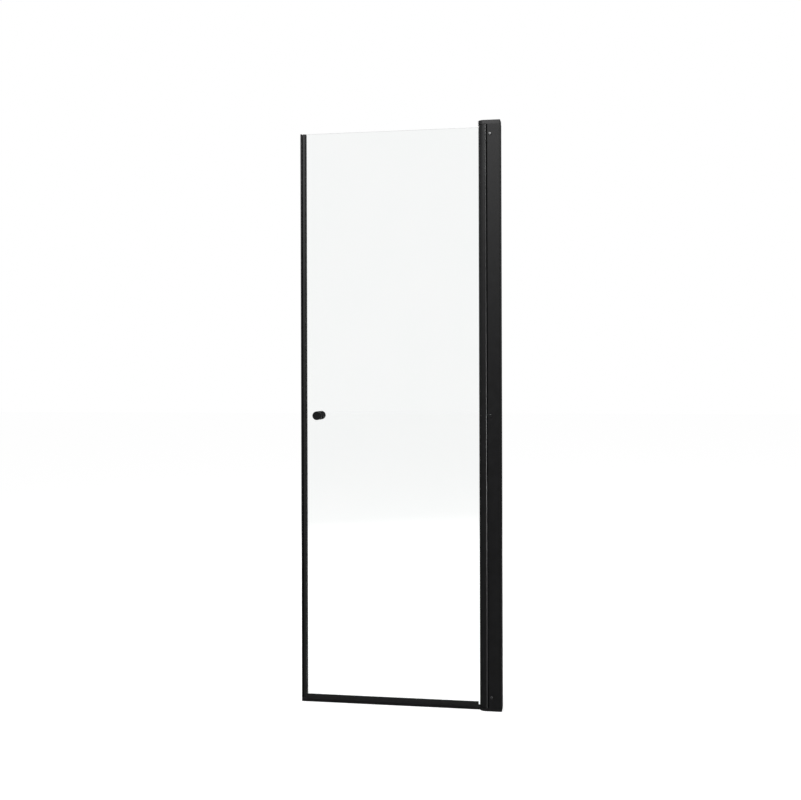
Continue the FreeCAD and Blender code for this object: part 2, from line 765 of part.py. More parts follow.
def cam_ring(sketch):
    """Outline of the ring that carries the ramps of a cam."""
    circle(sketch, S["cam_radius"])
    circle(sketch, S["ramp_radius"])


def ramp(sketch, low, high):
    """What is cut off along the screw line to leave a ramp on the ring of a cam."""
    box(sketch, S["ramp_radius"] - S["overcut"], S["cam_radius"] + S["overcut"], low, high)


def lift_cam():
    """Fixed cam: two screw-shaped ramps round the lower pin, each ending in a stop face."""
    piece = Piece("lift_cam", x=PIVOT)
    bore = S["pin_radius"] + S["running_gap"]

    def foot(sketch):
        circle(sketch, S["cam_radius"])
        circle(sketch, bore)

    extrusion(piece, foot, BOTTOM_SEAT, CAM_LEVEL)
    extrusion(piece, cam_ring, CAM_LEVEL, CAM_TOP)
    keys = piece.sketch(level=BOTTOM_SEAT)
    cam_keys(keys, ZERO)
    piece.pad(keys, S["cam_key_depth"], backwards=True)
    sketch = piece.sketch("XZ_Plane")
    ramp(sketch, CAM_LEVEL, CAM_LEVEL + CAM_PITCH)
    piece.helix_cut(sketch, CAM_PITCH, 0.5)


def cam_follower():
    """Moving cam, pinned in the foot of the stile; its ramps lie on those of the fixed cam."""
    piece = Piece("cam_follower", x=PIVOT)
    slack = S["chamber_slack"]
    radius = S["barrel_radius"] - S["profile_wall"] - slack
    bore = S["pin_radius"] + S["running_gap"]
    shoulder = CAM_TOP + S["end_gap"]

    def body(sketch):
        chamber(sketch, radius, S["chamber_offset"] - slack)
        circle(sketch, bore)

    extrusion(piece, cam_ring, CAM_LEVEL, shoulder)
    extrusion(piece, body, shoulder, shoulder + S["follower_height"])
    advance = S["quarter_rise"] * S["cam_lash_angle"] / 90
    face = CAM_LEVEL + advance + S["cam_gap"]
    sketch = piece.sketch("XZ_Plane")
    sketch.AttachmentOffset = FreeCAD.Placement(
        Vector(0, 0, 0), FreeCAD.Rotation(Vector(0, 1, 0), S["cam_lash_angle"].value)
    )
    sketch.setExpression("AttachmentOffset.Rotation.Angle", S["cam_lash_angle"].text + " * 1 deg")
    ramp(sketch, face - CAM_PITCH, face)
    piece.helix_cut(sketch, CAM_PITCH, 0.5)
    holes = piece.sketch("YZ_Plane", S["barrel_radius"] - S["grub_length"] - S["slide_gap"])
    for level in grub_levels():
        circle(holes, S["grub_radius"] + S["running_gap"], ZERO, level)
    piece.cut(holes, S["grub_length"] + S["overcut"])


def grub_levels():
    """Heights of the two grub screws in the follower."""
    middle = CAM_TOP + S["end_gap"] + S["follower_height"] / 2
    return [middle + S["grub_spacing"] * side for side in (-0.5, 0.5)]


def follower_screws():
    """Two grub screws that pin the follower in the stile."""
    piece = Piece("follower_screws", x=PIVOT)
    for level in grub_levels():
        sketch = piece.sketch("YZ_Plane", S["barrel_radius"] - S["grub_length"])
        circle(sketch, S["grub_radius"], ZERO, level)
        piece.pad(sketch, S["grub_length"] - S["slide_gap"])


def hinge_stile():
    """Rotating profile: half-round nose with the glass slot, and a barrel round the pivot."""
    piece = Piece("hinge_stile", x=PIVOT)
    low, high = STILE_BOTTOM, STILE_TOP
    radius = S["stile_radius"]
    back = S["stile_back"]
    inner = S["barrel_radius"] - S["profile_wall"]
    far = radius + S["overcut"]

    def behind(sketch):
        box(sketch, back, far, -far, far)

    def slot(sketch):
        box(sketch, -far, -SLOT_FLOOR, -SLOT_HALF, SLOT_HALF)

    def hollows(sketch):
        for flip in (-1, 1):
            sector(sketch, S["barrel_radius"], radius - S["profile_wall"],
                   S["hollow_start_angle"], S["hollow_end_angle"], flip)

    extrusion(piece, lambda sketch: circle(sketch, radius), low, high)
    groove(piece, behind, low, high)
    corner = math.sqrt(radius.value ** 2 - back.value ** 2)
    extrusion(piece, lambda sketch: circle(sketch, S["barrel_radius"]), low, high)
    shape = piece.shape()
    corners = [n for side in (-1, 1) for n in vertical_edges(shape, back.value, corner * side)]
    piece.round_edges(corners, S["stile_corner"])
    groove(piece, lambda sketch: chamber(sketch, inner, S["chamber_offset"]), low, high)
    groove(piece, slot, low, high)
    groove(piece, hollows, low, high)
    holes = piece.sketch("YZ_Plane", inner - S["overcut"])
    for level in grub_levels():
        circle(holes, S["grub_radius"] + S["running_gap"], ZERO, level)
    piece.cut(holes, S["profile_wall"] + S["overcut"] * 2)


def glazing_gasket():
    """U-shaped gasket between the stile and the glass."""
    piece = Piece("glazing_gasket", x=PIVOT)
    half = SLOT_HALF - S["fit_gap"]
    floor = SLOT_FLOOR + S["fit_gap"]
    mouth = chord(S["stile_radius"], SLOT_HALF)
    grip = HALF_GLASS + S["press_gap"]
    deep = GLASS_EDGE - S["fit_gap"]

    def section(sketch):
        outline(sketch, [
            (-mouth, -half), (-floor, -half), (-floor, half), (-mouth, half), (-mouth, grip),
            (-deep, grip), (-deep, -grip), (-mouth, -grip),
        ])

    extrusion(piece, section, GLASS_BOTTOM, GLASS_TOP)


def setting_block():
    """Block under the corner of the glass, in the foot of the slot."""
    piece = Piece("setting_block", x=PIVOT)
    half = SLOT_HALF - S["fit_gap"]
    mouth = chord(S["stile_radius"], SLOT_HALF)

    def section(sketch):
        box(sketch, -mouth, -SLOT_FLOOR - S["fit_gap"], -half, half)

    extrusion(piece, section, STILE_BOTTOM + S["slide_gap"], GLASS_BOTTOM - S["fit_gap"])


def glass_panel():
    """Toughened glass with ground edges and one hole for the knob."""
    piece = Piece("glass_panel")
    sketch = piece.sketch("XZ_Plane")
    box(sketch, STRIKE_WALL + GLASS_LEFT, PIVOT - GLASS_EDGE, GLASS_BOTTOM, GLASS_TOP)
    circle(sketch, S["glass_hole_radius"], KNOB_X, KNOB_Z)
    piece.pad(sketch, S["glass_thickness"], both=True)
    shape = piece.shape()
    rims = [
        "Edge%d" % number
        for number, edge in enumerate(shape.Edges, start=1)
        if edge.BoundBox.YLength < 0.01
    ]
    piece.round_edges(rims, S["glass_arris"], "Chamfer")


KNOB_X = STRIKE_WALL + GLASS_LEFT + S["knob_inset"]
KNOB_Z = (GLASS_BOTTOM + GLASS_TOP) / 2
EDGE_SEAL_BACK = S["strike_rebate"] - S["edge_seal_gap"]


def edge_seal():
    """Clips on the free edge of the glass and carries the door's magnet strip behind it."""
    piece = Piece("edge_seal", x=STRIKE_WALL)
    left = S["edge_seal_start"]
    right = S["strike_width"]
    wall = S["edge_seal_wall"]
    grip = HALF_GLASS + S["fit_gap"]
    floor = left + wall

    def section(sketch):
        outline(sketch, [
            (left, -grip - wall), (right, -grip - wall), (right, -grip), (floor, -grip),
            (floor, grip), (right, grip), (right, EDGE_SEAL_BACK), (left, EDGE_SEAL_BACK),
        ])
        magnet_box(sketch, ZERO)

    extrusion(piece, section, FIN_LEVEL + S["slide_gap"], GLASS_TOP)


def magnet_box(sketch, slack):
    """Outline of the door magnet, or of its room in the edge seal."""
    wall = S["edge_seal_wall"]
    back = EDGE_SEAL_BACK - S["carrier_face"] - slack
    box(sketch, S["edge_seal_start"] + wall + slack, S["strike_width"] - wall - slack,
        back - S["magnet_depth"] + slack, back)


def door_magnet():
    """Magnet strip of the door."""
    piece = Piece("door_magnet", x=STRIKE_WALL)
    extrusion(piece, lambda sketch: magnet_box(sketch, S["fit_gap"]),
              GLASS_BOTTOM, GLASS_TOP - S["strike_rise"])


def bottom_seal():
    """Clips on the lower edge of the glass; its fins run just above the threshold."""
    start = STRIKE_WALL + S["strike_width"] + S["open_gap"]
    piece = Piece("bottom_seal", x=start)
    wall = S["seal_wall"]
    grip = HALF_GLASS + S["fit_gap"]
    outer = grip + wall
    web_top = SEAL_WEB + wall
    top = GLASS_BOTTOM + S["seal_leg"]
    fin = S["carrier_face"]
    drip = outer + S["fin_drop"]
    sketch = piece.sketch("YZ_Plane")
    outline(sketch, [
        (-outer, SEAL_WEB), (-outer, FIN_LEVEL), (-outer + fin, FIN_LEVEL), (-outer + fin, SEAL_WEB),
        (-fin, SEAL_WEB), (-fin, FIN_LEVEL + fin), (fin, FIN_LEVEL + fin), (fin, SEAL_WEB),
        (outer - fin, SEAL_WEB), (drip - fin, FIN_LEVEL), (drip, FIN_LEVEL), (outer, web_top),
        (outer, top), (grip, top), (grip, web_top), (-grip, web_top), (-grip, top), (-outer, top),
    ])
    piece.pad(sketch, PIVOT - S["seal_end"] - start)


def strike_wall_channel():
    """Channel on the strike wall, with a narrow lip in front and a flange behind."""
    piece = Piece("strike_wall_channel", x=STRIKE_WALL)
    front, back = -S["strike_front"], S["strike_back"]
    wall = S["strike_wall"]

    def section(sketch):
        outline(sketch, [
            (0, front), (S["strike_lip"], front), (S["strike_lip"], front + wall),
            (wall, front + wall), (wall, back - wall), (S["strike_flange"], back - wall),
            (S["strike_flange"], back), (0, back),
        ])

    extrusion(piece, section, S["strike_cap"], STRIKE_TOP - S["strike_cap"])
    holes = piece.sketch("YZ_Plane", -S["overcut"])
    for spread in (S["fixing_outer_spacing"], S["fixing_inner_spacing"]):
        for side in (-0.5, 0.5):
            circle(holes, S["fixing_radius"], (back + front) / 2, MIDDLE + spread * side)
    depth = wall + S["overcut"] * 2
    piece.cut(holes, depth)
    screw_holes(piece, back - wall - S["overcut"], depth)


def screw_holes(piece, level, depth):
    """Holes for the strike screws, along Y."""
    holes = piece.sketch("XZ_Plane", -level)
    for side in (-0.5, 0, 0.5):
        circle(holes, S["strike_screw_radius"] + S["running_gap"], S["strike_screw_offset"],
               MIDDLE + S["fixing_outer_spacing"] * side)
    piece.cut(holes, depth, backwards=True)


def strike_pocket(sketch, slack=ZERO):
    """Outline of the pocket for the magnet carrier, or of the carrier in it."""
    skin = S["strike_skin"] + slack
    face = S["strike_rebate"] + slack
    box(sketch, S["strike_inset"] + skin, S["strike_width"] - skin, face,
        S["strike_rebate"] + S["strike_pocket"] - slack)


def strike_jamb_profile():
    """Profile that takes the magnet carrier; screwed to the rear flange of the channel."""
    piece = Piece("strike_jamb_profile", x=STRIKE_WALL)
    low, high = S["strike_cap"], STRIKE_TOP - S["strike_cap"]
    back = S["strike_back"] - S["strike_wall"] - S["slide_gap"]
    skin = S["strike_skin"]

    def block(sketch):
        box(sketch, S["strike_inset"], S["strike_width"], S["strike_rebate"], back)

    def room(sketch):
        box(sketch, S["strike_inset"] + skin, S["strike_width"] - skin,
            S["strike_rebate"] + S["strike_pocket"] + skin, back - skin)

    extrusion(piece, block, low, high)
    groove(piece, strike_pocket, low, high)
    groove(piece, room, low, high)
    screw_holes(piece, back - skin - S["overcut"], skin + S["overcut"] * 2)


def strike_magnet_room(sketch, slack):
    """Outline of the strike magnet, or of its room in the carrier."""
    side = S["strike_skin"] + S["fit_gap"] + S["carrier_wall"] + slack
    face = S["strike_rebate"] + S["fit_gap"] + S["carrier_face"] + slack
    box(sketch, S["strike_inset"] + side, S["strike_width"] - side, face,
        face + S["magnet_depth"] - slack * 2)


def strike_magnet_carrier():
    """Plastic carrier snapped into the pocket of the strike jamb profile."""
    piece = Piece("strike_magnet_carrier", x=STRIKE_WALL)

    def section(sketch):
        strike_pocket(sketch, S["fit_gap"])
        strike_magnet_room(sketch, ZERO)

    extrusion(piece, section, S["strike_cap"] + S["slide_gap"],
              STRIKE_TOP - S["strike_cap"] - S["slide_gap"])


def strike_magnet():
    """Magnet strip of the strike."""
    piece = Piece("strike_magnet", x=STRIKE_WALL)
    extrusion(piece, lambda sketch: strike_magnet_room(sketch, S["fit_gap"]),
              GLASS_BOTTOM, GLASS_TOP - S["strike_rise"])


def strike_screws():
    """Three screws behind the strike, from the shower side."""
    low = MIDDLE - S["fixing_outer_spacing"] / 2
    piece = Piece("strike_screws", x=STRIKE_WALL + S["strike_screw_offset"], y=S["strike_back"], z=low)
    radius = S["strike_screw_radius"]
    head = S["strike_head_radius"]
    sketch = piece.sketch("XY_Plane")
    outline(sketch, [
        (0, -S["strike_screw_length"]), (radius, -S["strike_screw_length"]), (radius, 0), (head, 0),
        (head, S["strike_head_height"]), (0, S["strike_head_height"]),
    ])
    turned = piece.revolve(sketch)
    piece.repeat(turned, sketch, S["fixing_outer_spacing"], 3)


def strike_cap(label, low, rounded):
    """L-shaped end cap of the strike, open where the edge of the door comes in."""
    piece = Piece(label, x=STRIKE_WALL)
    front, back = -S["strike_front"], S["strike_back"]

    def section(sketch):
        outline(sketch, [
            (0, front), (S["strike_lip"], front), (S["strike_lip"], S["strike_rebate"]),
            (S["strike_width"], S["strike_rebate"]), (S["strike_width"], back), (0, back),
        ])

    extrusion(piece, section, low, low + S["strike_cap"])
    if rounded:
        top = (low + S["strike_cap"]).value
        piece.round_edges(edges_at_level(piece.shape(), top), S["glass_arris"], "Chamfer")


def threshold_outline(sketch, slack=ZERO):
    """Outline of the threshold across the door, in Y and Z, drawn in by slack."""
    front = -S["threshold_front"] + slack
    back = S["threshold_back"] - slack
    top = S["threshold_height"] - slack
    nose = S["threshold_nose"]
    dam = S["dam_start"] + slack
    dam_end = S["dam_start"] + S["dam_width"] - slack
    crest = S["threshold_height"] + S["dam_height"] - slack
    outline(sketch, [
        (front, slack), (back, slack), (back, S["threshold_tail"] - slack), (dam_end, top),
        (dam_end, crest), (dam, crest), (dam, top), (front + nose, top), (front, top - nose),
    ])


def threshold_room(sketch, slack=ZERO):
    """Outline of the hollow of the threshold, or of a spigot in it."""
    skin = S["threshold_skin"] + slack
    slope = (S["threshold_height"] - S["threshold_tail"]) / (
        S["threshold_back"] - S["dam_start"] - S["dam_width"])
    front = -S["threshold_front"] + skin
    back = S["dam_start"] + S["dam_width"] + S["threshold_tail"]
    top = S["threshold_height"] - skin
    outline(sketch, [
        (front, skin), (back, skin), (back, top - slope * S["threshold_tail"] - slack),
        (S["dam_start"], top - slack), (front, top - slack),
    ])


def threshold():
    """Low hollow sill, glued to the tray, with a dam behind the door."""
    start = STRIKE_WALL + S["strike_width"] + S["open_gap"] + S["end_piece_width"]
    piece = Piece("threshold", x=start)
    length = PIVOT - S["end_piece_reach"] - start
    sketch = piece.sketch("YZ_Plane")
    threshold_outline(sketch)
    threshold_room(sketch)
    piece.pad(sketch, length)


def threshold_strike_end():
    """End piece of the threshold that fills the corner under the strike."""
    left = S["strike_lip"] + S["open_gap"]
    plate = S["strike_width"] + S["open_gap"]
    piece = Piece("threshold_strike_end", x=STRIKE_WALL)
    sketch = piece.sketch("YZ_Plane", plate)
    threshold_outline(sketch)
    piece.pad(sketch, S["end_piece_width"])
    front = -S["threshold_front"]
    back = S["strike_rebate"] - S["open_gap"]
    block = piece.sketch("YZ_Plane", left)
    nose = S["threshold_nose"]
    top = S["threshold_height"]
    outline(block, [(front, 0), (back, 0), (back, top), (front + nose, top), (front, top - nose)])
    piece.pad(block, plate - left + S["overcut"])
    peg = piece.sketch("YZ_Plane", plate)
    threshold_room(peg, S["chamber_slack"])
    piece.pad(peg, S["end_piece_width"] + S["end_spigot"])


def threshold_hinge_end():
    """End piece of the threshold, hollowed to pass round the nose of the post."""
    reach = S["end_piece_reach"]
    piece = Piece("threshold_hinge_end", x=PIVOT)
    sketch = piece.sketch("YZ_Plane", -reach)
    threshold_outline(sketch)
    piece.pad(sketch, reach - S["end_piece_stop"])
    peg = piece.sketch("YZ_Plane", -reach - S["end_spigot"])
    threshold_room(peg, S["chamber_slack"])
    piece.pad(peg, S["end_spigot"] + S["overcut"])
    groove(piece, lambda sketch: circle(sketch, S["post_half_depth"] + S["open_gap"]),
           -S["overcut"], S["threshold_height"] + S["dam_height"] + S["overcut"])


def knob(label, side, stud):
    """Turned knob with a relieved neck: one has a stud through the glass, the other its bore."""
    piece = Piece(label, x=KNOB_X, z=KNOB_Z)
    start = (HALF_GLASS + S["knob_washer"]) * side
    neck = start + S["knob_neck"] * side
    face = start + S["knob_length"] * side
    tip = -start - S["stud_depth"] * side
    radius = S["knob_radius"]
    chamfer = S["knob_chamfer"]
    bore = S["stud_radius"] + S["running_gap"]
    deep = start + (S["stud_depth"] + S["overcut"]) * side
    middle = [(0, deep), (bore, deep), (bore, start)]
    if stud:
        middle = [(0, tip), (S["stud_radius"], tip), (S["stud_radius"], start)]
    rim = [
        (S["knob_neck_radius"], start), (S["knob_neck_radius"], neck), (radius, neck),
        (radius, face - chamfer * side), (radius - chamfer, face), (0, face),
    ]
    sketch = piece.sketch("XY_Plane")
    outline(sketch, middle + rim)
    piece.revolve(sketch)


def knob_grommet():
    """Soft grommet in the hole of the glass: keeps the stud and both knobs off the glass."""
    piece = Piece("knob_grommet", x=KNOB_X, z=KNOB_Z)
    bore = S["stud_radius"] + S["running_gap"]
    waist = S["glass_hole_radius"] - S["fit_gap"]
    flange = S["knob_neck_radius"] + S["slide_gap"] * 2
    inner = HALF_GLASS + S["press_gap"]
    outer = HALF_GLASS + S["knob_washer"] - S["press_gap"]
    sketch = piece.sketch("XY_Plane")
    outline(sketch, [
        (bore, -outer), (flange, -outer), (flange, -inner), (waist, -inner), (waist, inner),
        (flange, inner), (flange, outer), (bore, outer),
    ])
    piece.revolve(sketch)


def export_pieces():
    """Check every object and every shape, then write one STEP file for each piece."""
    doc.recompute()
    for item in doc.Objects:
        if "Invalid" in item.State or "Error" in item.State:
            raise RuntimeError("%s: %s" % (item.Name, item.State))
    os.makedirs("parts", exist_ok=True)
    for piece in pieces:
        shape = piece.body.Shape
        if shape.isNull() or not shape.isValid() or not shape.Solids:
            raise RuntimeError("%s has no sound shape" % piece.label)
    for piece in pieces:
        shape = piece.body.Shape
        extent = shape.BoundBox
        print("%-24s %d solid(s) %12.1f mm3  x %8.2f %8.2f  y %7.2f %7.2f  z %8.2f %8.2f" % (
            piece.label, len(shape.Solids), shape.Volume, extent.XMin, extent.XMax,
            extent.YMin, extent.YMax, extent.ZMin, extent.ZMax))
        shape.exportStep("parts/%s.step" % piece.label)


hinge_wall_channel()
hinge_jamb_profile()
post_seal()
bottom_bearing_cap()
top_bearing_cap()
cap_screws()
adjust_screws()
pivot_pin("lower_pivot_pin", PIN_SEAT, BOTTOM_SEAT + S["lower_pin_height"], 1)
pivot_pin("upper_pivot_pin", S["frame_height"] - PIN_SEAT, TOP_SEAT - S["upper_pin_drop"], -1,
          CLIP_LEVEL - S["fit_gap"])
collar_clip()
pivot_collar()
lift_cam()
cam_follower()
follower_screws()
hinge_stile()
glazing_gasket()
setting_block()
glass_panel()
edge_seal()
door_magnet()
bottom_seal()
strike_wall_channel()
strike_jamb_profile()
strike_magnet_carrier()
strike_magnet()
strike_screws()
strike_cap("strike_top_cap", STRIKE_TOP - S["strike_cap"], True)
strike_cap("strike_foot_cap", ZERO, False)
threshold()
threshold_strike_end()
threshold_hinge_end()
knob("outer_knob", -1, False)
knob("inner_knob", 1, True)
knob_grommet()
export_pieces()
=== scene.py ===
import json
import logging
import math
from dataclasses import dataclass
from enum import Enum
from typing import Callable, ClassVar, Iterable, Optional, Sequence, Union

import bmesh
import bpy
from mathutils import Matrix, Vector

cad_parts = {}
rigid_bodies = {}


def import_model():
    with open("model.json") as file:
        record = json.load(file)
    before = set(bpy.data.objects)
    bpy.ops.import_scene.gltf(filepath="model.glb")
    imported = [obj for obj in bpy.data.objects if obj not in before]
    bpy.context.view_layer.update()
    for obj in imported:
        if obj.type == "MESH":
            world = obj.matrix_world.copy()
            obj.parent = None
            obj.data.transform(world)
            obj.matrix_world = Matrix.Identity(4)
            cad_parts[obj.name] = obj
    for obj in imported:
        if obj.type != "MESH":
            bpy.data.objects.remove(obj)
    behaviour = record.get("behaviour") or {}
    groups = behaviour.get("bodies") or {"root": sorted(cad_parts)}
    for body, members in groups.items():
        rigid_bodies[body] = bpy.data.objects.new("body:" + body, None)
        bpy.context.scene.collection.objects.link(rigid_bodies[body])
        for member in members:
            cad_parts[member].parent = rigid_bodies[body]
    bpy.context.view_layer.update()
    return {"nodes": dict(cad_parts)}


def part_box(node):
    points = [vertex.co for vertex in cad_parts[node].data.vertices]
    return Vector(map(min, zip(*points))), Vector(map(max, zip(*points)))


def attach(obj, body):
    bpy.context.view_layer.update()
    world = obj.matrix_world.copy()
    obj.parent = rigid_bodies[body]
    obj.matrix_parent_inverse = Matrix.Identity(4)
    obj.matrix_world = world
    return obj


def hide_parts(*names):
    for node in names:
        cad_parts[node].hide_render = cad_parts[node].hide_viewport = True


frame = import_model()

LOG = logging.getLogger("shower_door")

MM = 0.001              # metres in a millimetre
WELD = 1e-4             # points closer than this, in millimetres, are one point
NEAR = 1e-3             # what counts as level or on a circle, in millimetres
FINE_ARC = 3.0          # degrees of an outline's arc that one edge covers
LATHE_STEPS = 96        # faces round a turned piece
SHARP_CORNER = 30.0     # degrees between two faces of a CAD node whose edge is rounded
SMOOTH_BELOW = 35.0     # degrees between two faces that are still shaded as one
MIRRORED = 0.15         # share of the white room that a glossy surface mirrors

Vert = bmesh.types.BMVert
Edge = bmesh.types.BMEdge
Face = bmesh.types.BMFace
Socket = bpy.types.NodeSocket
Numbers = tuple[float, ...]

ALONG = (1.0, 1.0, 0.01)    # stretches a pattern along an upright bar
ACROSS = (0.01, 1.0, 1.0)   # and along one that lies across the niche


class Facing(Enum):
    """Which way a flat section lies in the frame: its X, its Y and the way it is pulled."""

    UP = "section in X and Y, pulled up"
    ACROSS = "section in Y and Z, pulled along X"
    BACK = "section in X and Z, pulled towards the room"

    def matrix(self) -> Matrix:
        """Work out the turn from the section's own axes to the frame's.

        Returns:
            The turn.
        """
        columns = {
            Facing.UP: ((1, 0, 0), (0, 1, 0), (0, 0, 1)),
            Facing.ACROSS: ((0, 1, 0), (0, 0, 1), (1, 0, 0)),
            Facing.BACK: ((1, 0, 0), (0, 0, 1), (0, -1, 0)),
        }[self]
        return Matrix(columns).transposed().to_4x4()


class Body(Enum):
    """Rigid bodies of the door."""

    FRAME = "wall_frame"
    CARRIER = "pivot_carrier"
    DOOR = "door"


# --- shader sockets


class Value:
    """A number socket with arithmetic: each operator adds one Math node."""

    def __init__(self, graph: "Graph", socket: Socket) -> None:
        """Wrap a socket.

        Args:
            graph: the node tree the socket is in.
            socket: the output that carries the number.
        """
        self.graph = graph
        self.socket = socket

    def __add__(self, other: Union["Value", float]) -> "Value":
        """Sum."""
        return self.graph.math("ADD", self, other)

    __radd__ = __add__

    def __sub__(self, other: Union["Value", float]) -> "Value":
        """Difference."""
        return self.graph.math("SUBTRACT", self, other)

    def __rsub__(self, other: float) -> "Value":
        """Difference from a number."""
        return self.graph.math("SUBTRACT", other, self)

    def __mul__(self, other: Union["Value", float]) -> "Value":
        """Product."""
        return self.graph.math("MULTIPLY", self, other)

    __rmul__ = __mul__


class Graph:
    """Node tree of one material or of the world."""

    def __init__(self, tree: bpy.types.NodeTree) -> None:
        """Start with an empty tree.

        Args:
            tree: the tree to fill.
        """
        self.tree = tree
        self.tree.nodes.clear()

    def node(
        self, kind: str, settings: Optional[dict] = None, *values: object, **inputs: object
    ) -> bpy.types.Node:
        """Add a node.

        Args:
            kind: type of the node, without the ShaderNode that it starts with.
            settings: attributes to set first.
            values: values or links of its first sockets, in order.
            inputs: values or links by socket name, with _ for a space.

        Returns:
            The new node.
        """
        new = self.tree.nodes.new("ShaderNode" + kind)
        for name, setting in (settings or {}).items():
            setattr(new, name, setting)
        for socket, given in zip(new.inputs, values):
            self.plug(socket, given)
        for name, given in inputs.items():
            self.plug(new.inputs[name.replace("_", " ")], given)
        return new

    def plug(self, socket: Socket, given: object) -> None:
        """Link or set one input.

        Args:
            socket: the input.
            given: a Value, a socket, or a plain number or colour.
        """
        if isinstance(given, Value):
            given = given.socket
        if isinstance(given, Socket):
            self.tree.links.new(given, socket)
        else:
            socket.default_value = given

    def math(self, operation: str, *values: Union[Value, float]) -> Value:
        """Add a Math node.

        Args:
            operation: what the node works out.
            values: its inputs in order.

        Returns:
            Its result.
        """
        return Value(self, self.node("Math", {"operation": operation}, *values).outputs[0])

    def place(self, stretch: Sequence[float] = (1.0, 1.0, 1.0)) -> Socket:
        """Place on the object, stretched along the axes.

        Args:
            stretch: scale along X, Y and Z.

        Returns:
            The vector socket.
        """
        source = self.node("TexCoord").outputs["Object"]
        return self.node("Mapping", Vector=source, Scale=tuple(stretch)).outputs["Vector"]

    def noise(self, look: "Noise") -> Value:
        """Cloudy noise from 0 to 1 on the object.

        Args:
            look: scale, detail and stretch of the clouds.

        Returns:
            The noise.
        """
        place = self.place(look.stretch)
        new = self.node("TexNoise", Vector=place, Scale=look.scale, Detail=look.detail)
        return Value(self, new.outputs["Fac"])

    def spread(self, source: Value, low: float, high: float) -> Value:
        """Bring the middle of a noise to the range from low to high.

        Args:
            source: noise round 0.5.
            low: result at 0.3.
            high: result at 0.7.

        Returns:
            The number, held within the range.
        """
        return Value(self, self.node("MapRange", None, source, 0.3, 0.7, low, high).outputs["Result"])

    def seen(self, mirrored: float) -> Value:
        """Share of the surroundings' white that a ray gets: all of it straight or through glass.

        Args:
            mirrored: share for rays that look at the surroundings in a glossy surface.

        Returns:
            The share, 0 for rays that only bring light.
        """
        looks = self.math("MAXIMUM", self.ray("Is Camera Ray"), self.ray("Is Transmission Ray"))
        looks = self.math("MAXIMUM", looks, self.ray("Is Glossy Ray"))
        mirrors = self.math("GREATER_THAN", self.ray("Glossy Depth"), 0.5)
        scatters = self.math("GREATER_THAN", self.ray("Diffuse Depth"), 0.5)
        return looks * (1.0 - scatters) * (1.0 - mirrors * (1.0 - mirrored))

    def ray(self, what: str) -> Value:
        """What is known of the ray that asks for the shader."""
        return Value(self, self.node("LightPath").outputs[what])

    def blend(self, factor: Value, first: Sequence[float], second: Sequence[float]) -> Socket:
        """Mix two colours.

        Args:
            factor: share of the second colour.
            first: colour at 0.
            second: colour at 1.

        Returns:
            The colour socket.
        """
        new = self.node("Mix", {"data_type": "RGBA"})
        self.plug(new.inputs[0], factor)
        new.inputs[6].default_value = (*first, 1.0)
        new.inputs[7].default_value = (*second, 1.0)
        return new.outputs[2]

    def bump(self, height: Value, strength: float, distance: float) -> Socket:
        """Bump normal.

        Args:
            height: relief.
            strength: how much of it shows.
            distance: how high it is, in metres.

        Returns:
            The normal socket.
        """
        return self.node("Bump", Height=height, Strength=strength, Distance=distance).outputs["Normal"]

    def principled(self, **inputs: object) -> Socket:
        """Principled shader with the given constants and links by socket name."""
        return self.node("BsdfPrincipled", **inputs).outputs["BSDF"]


# --- finishes


@dataclass(frozen=True)
class Noise:
    """Clouds in a finish: how many in a metre, how many octaves, and how they are stretched."""

    scale: float
    detail: float = 2.0
    stretch: Numbers = (1.0, 1.0, 1.0)


@dataclass(frozen=True)
class Finish:
    """A finish, made into one material when it is first used."""

    name: str
    slot: str
    made: ClassVar[dict] = {}

    def material(self) -> bpy.types.Material:
        """Make the material, or take it where it has been made.

        Returns:
            The material of this finish.
        """
        if self.name not in self.made:
            material = bpy.data.materials.new(self.name)
            material.use_nodes = True
            graph = Graph(material.node_tree)
            graph.node("OutputMaterial", Surface=self.surface(graph))
            self.made[self.name] = material
        return self.made[self.name]

    def surface(self, graph: Graph) -> Socket:
        """Build the shader.

        Args:
            graph: where the nodes go.

        Returns:
            The shader socket.
        """
        raise NotImplementedError


@dataclass(frozen=True)
class Coat(Finish):
    """Opaque surface: clouds in its colour, fine grain in its gloss and its relief.

    The share is the grain's part in the gloss, and the clouds have the rest. Relief says how
    much of the grain shows, and depth how high it is, in millimetres.
    """

    dark: Numbers
    light: Numbers
    smooth: float
    rough: float
    gloss: float
    grain: Noise
    cloud: Noise
    share: float
    relief: float
    depth: float
    metal: ClassVar[float] = 0.0

    def surface(self, graph: Graph) -> Socket:
        """Build the shader.

        Args:
            graph: where the nodes go.

        Returns:
            The shader socket.
        """
        grain = graph.noise(self.grain)
        cloud = graph.noise(self.cloud)
        wear = grain * self.share + cloud * (1.0 - self.share)
        return graph.principled(
            Metallic=self.metal,
            Specular_IOR_Level=self.gloss,
            Base_Color=graph.blend(graph.spread(cloud, 0.0, 1.0), self.dark, self.light),
            Roughness=graph.spread(wear, self.smooth, self.rough),
            Normal=graph.bump(self.height(graph, grain), self.relief, self.depth * MM),
        )

    def height(self, graph: Graph, grain: Value) -> Value:
        """Relief of the surface: the grain itself, unless the finish adds to it."""
        return grain


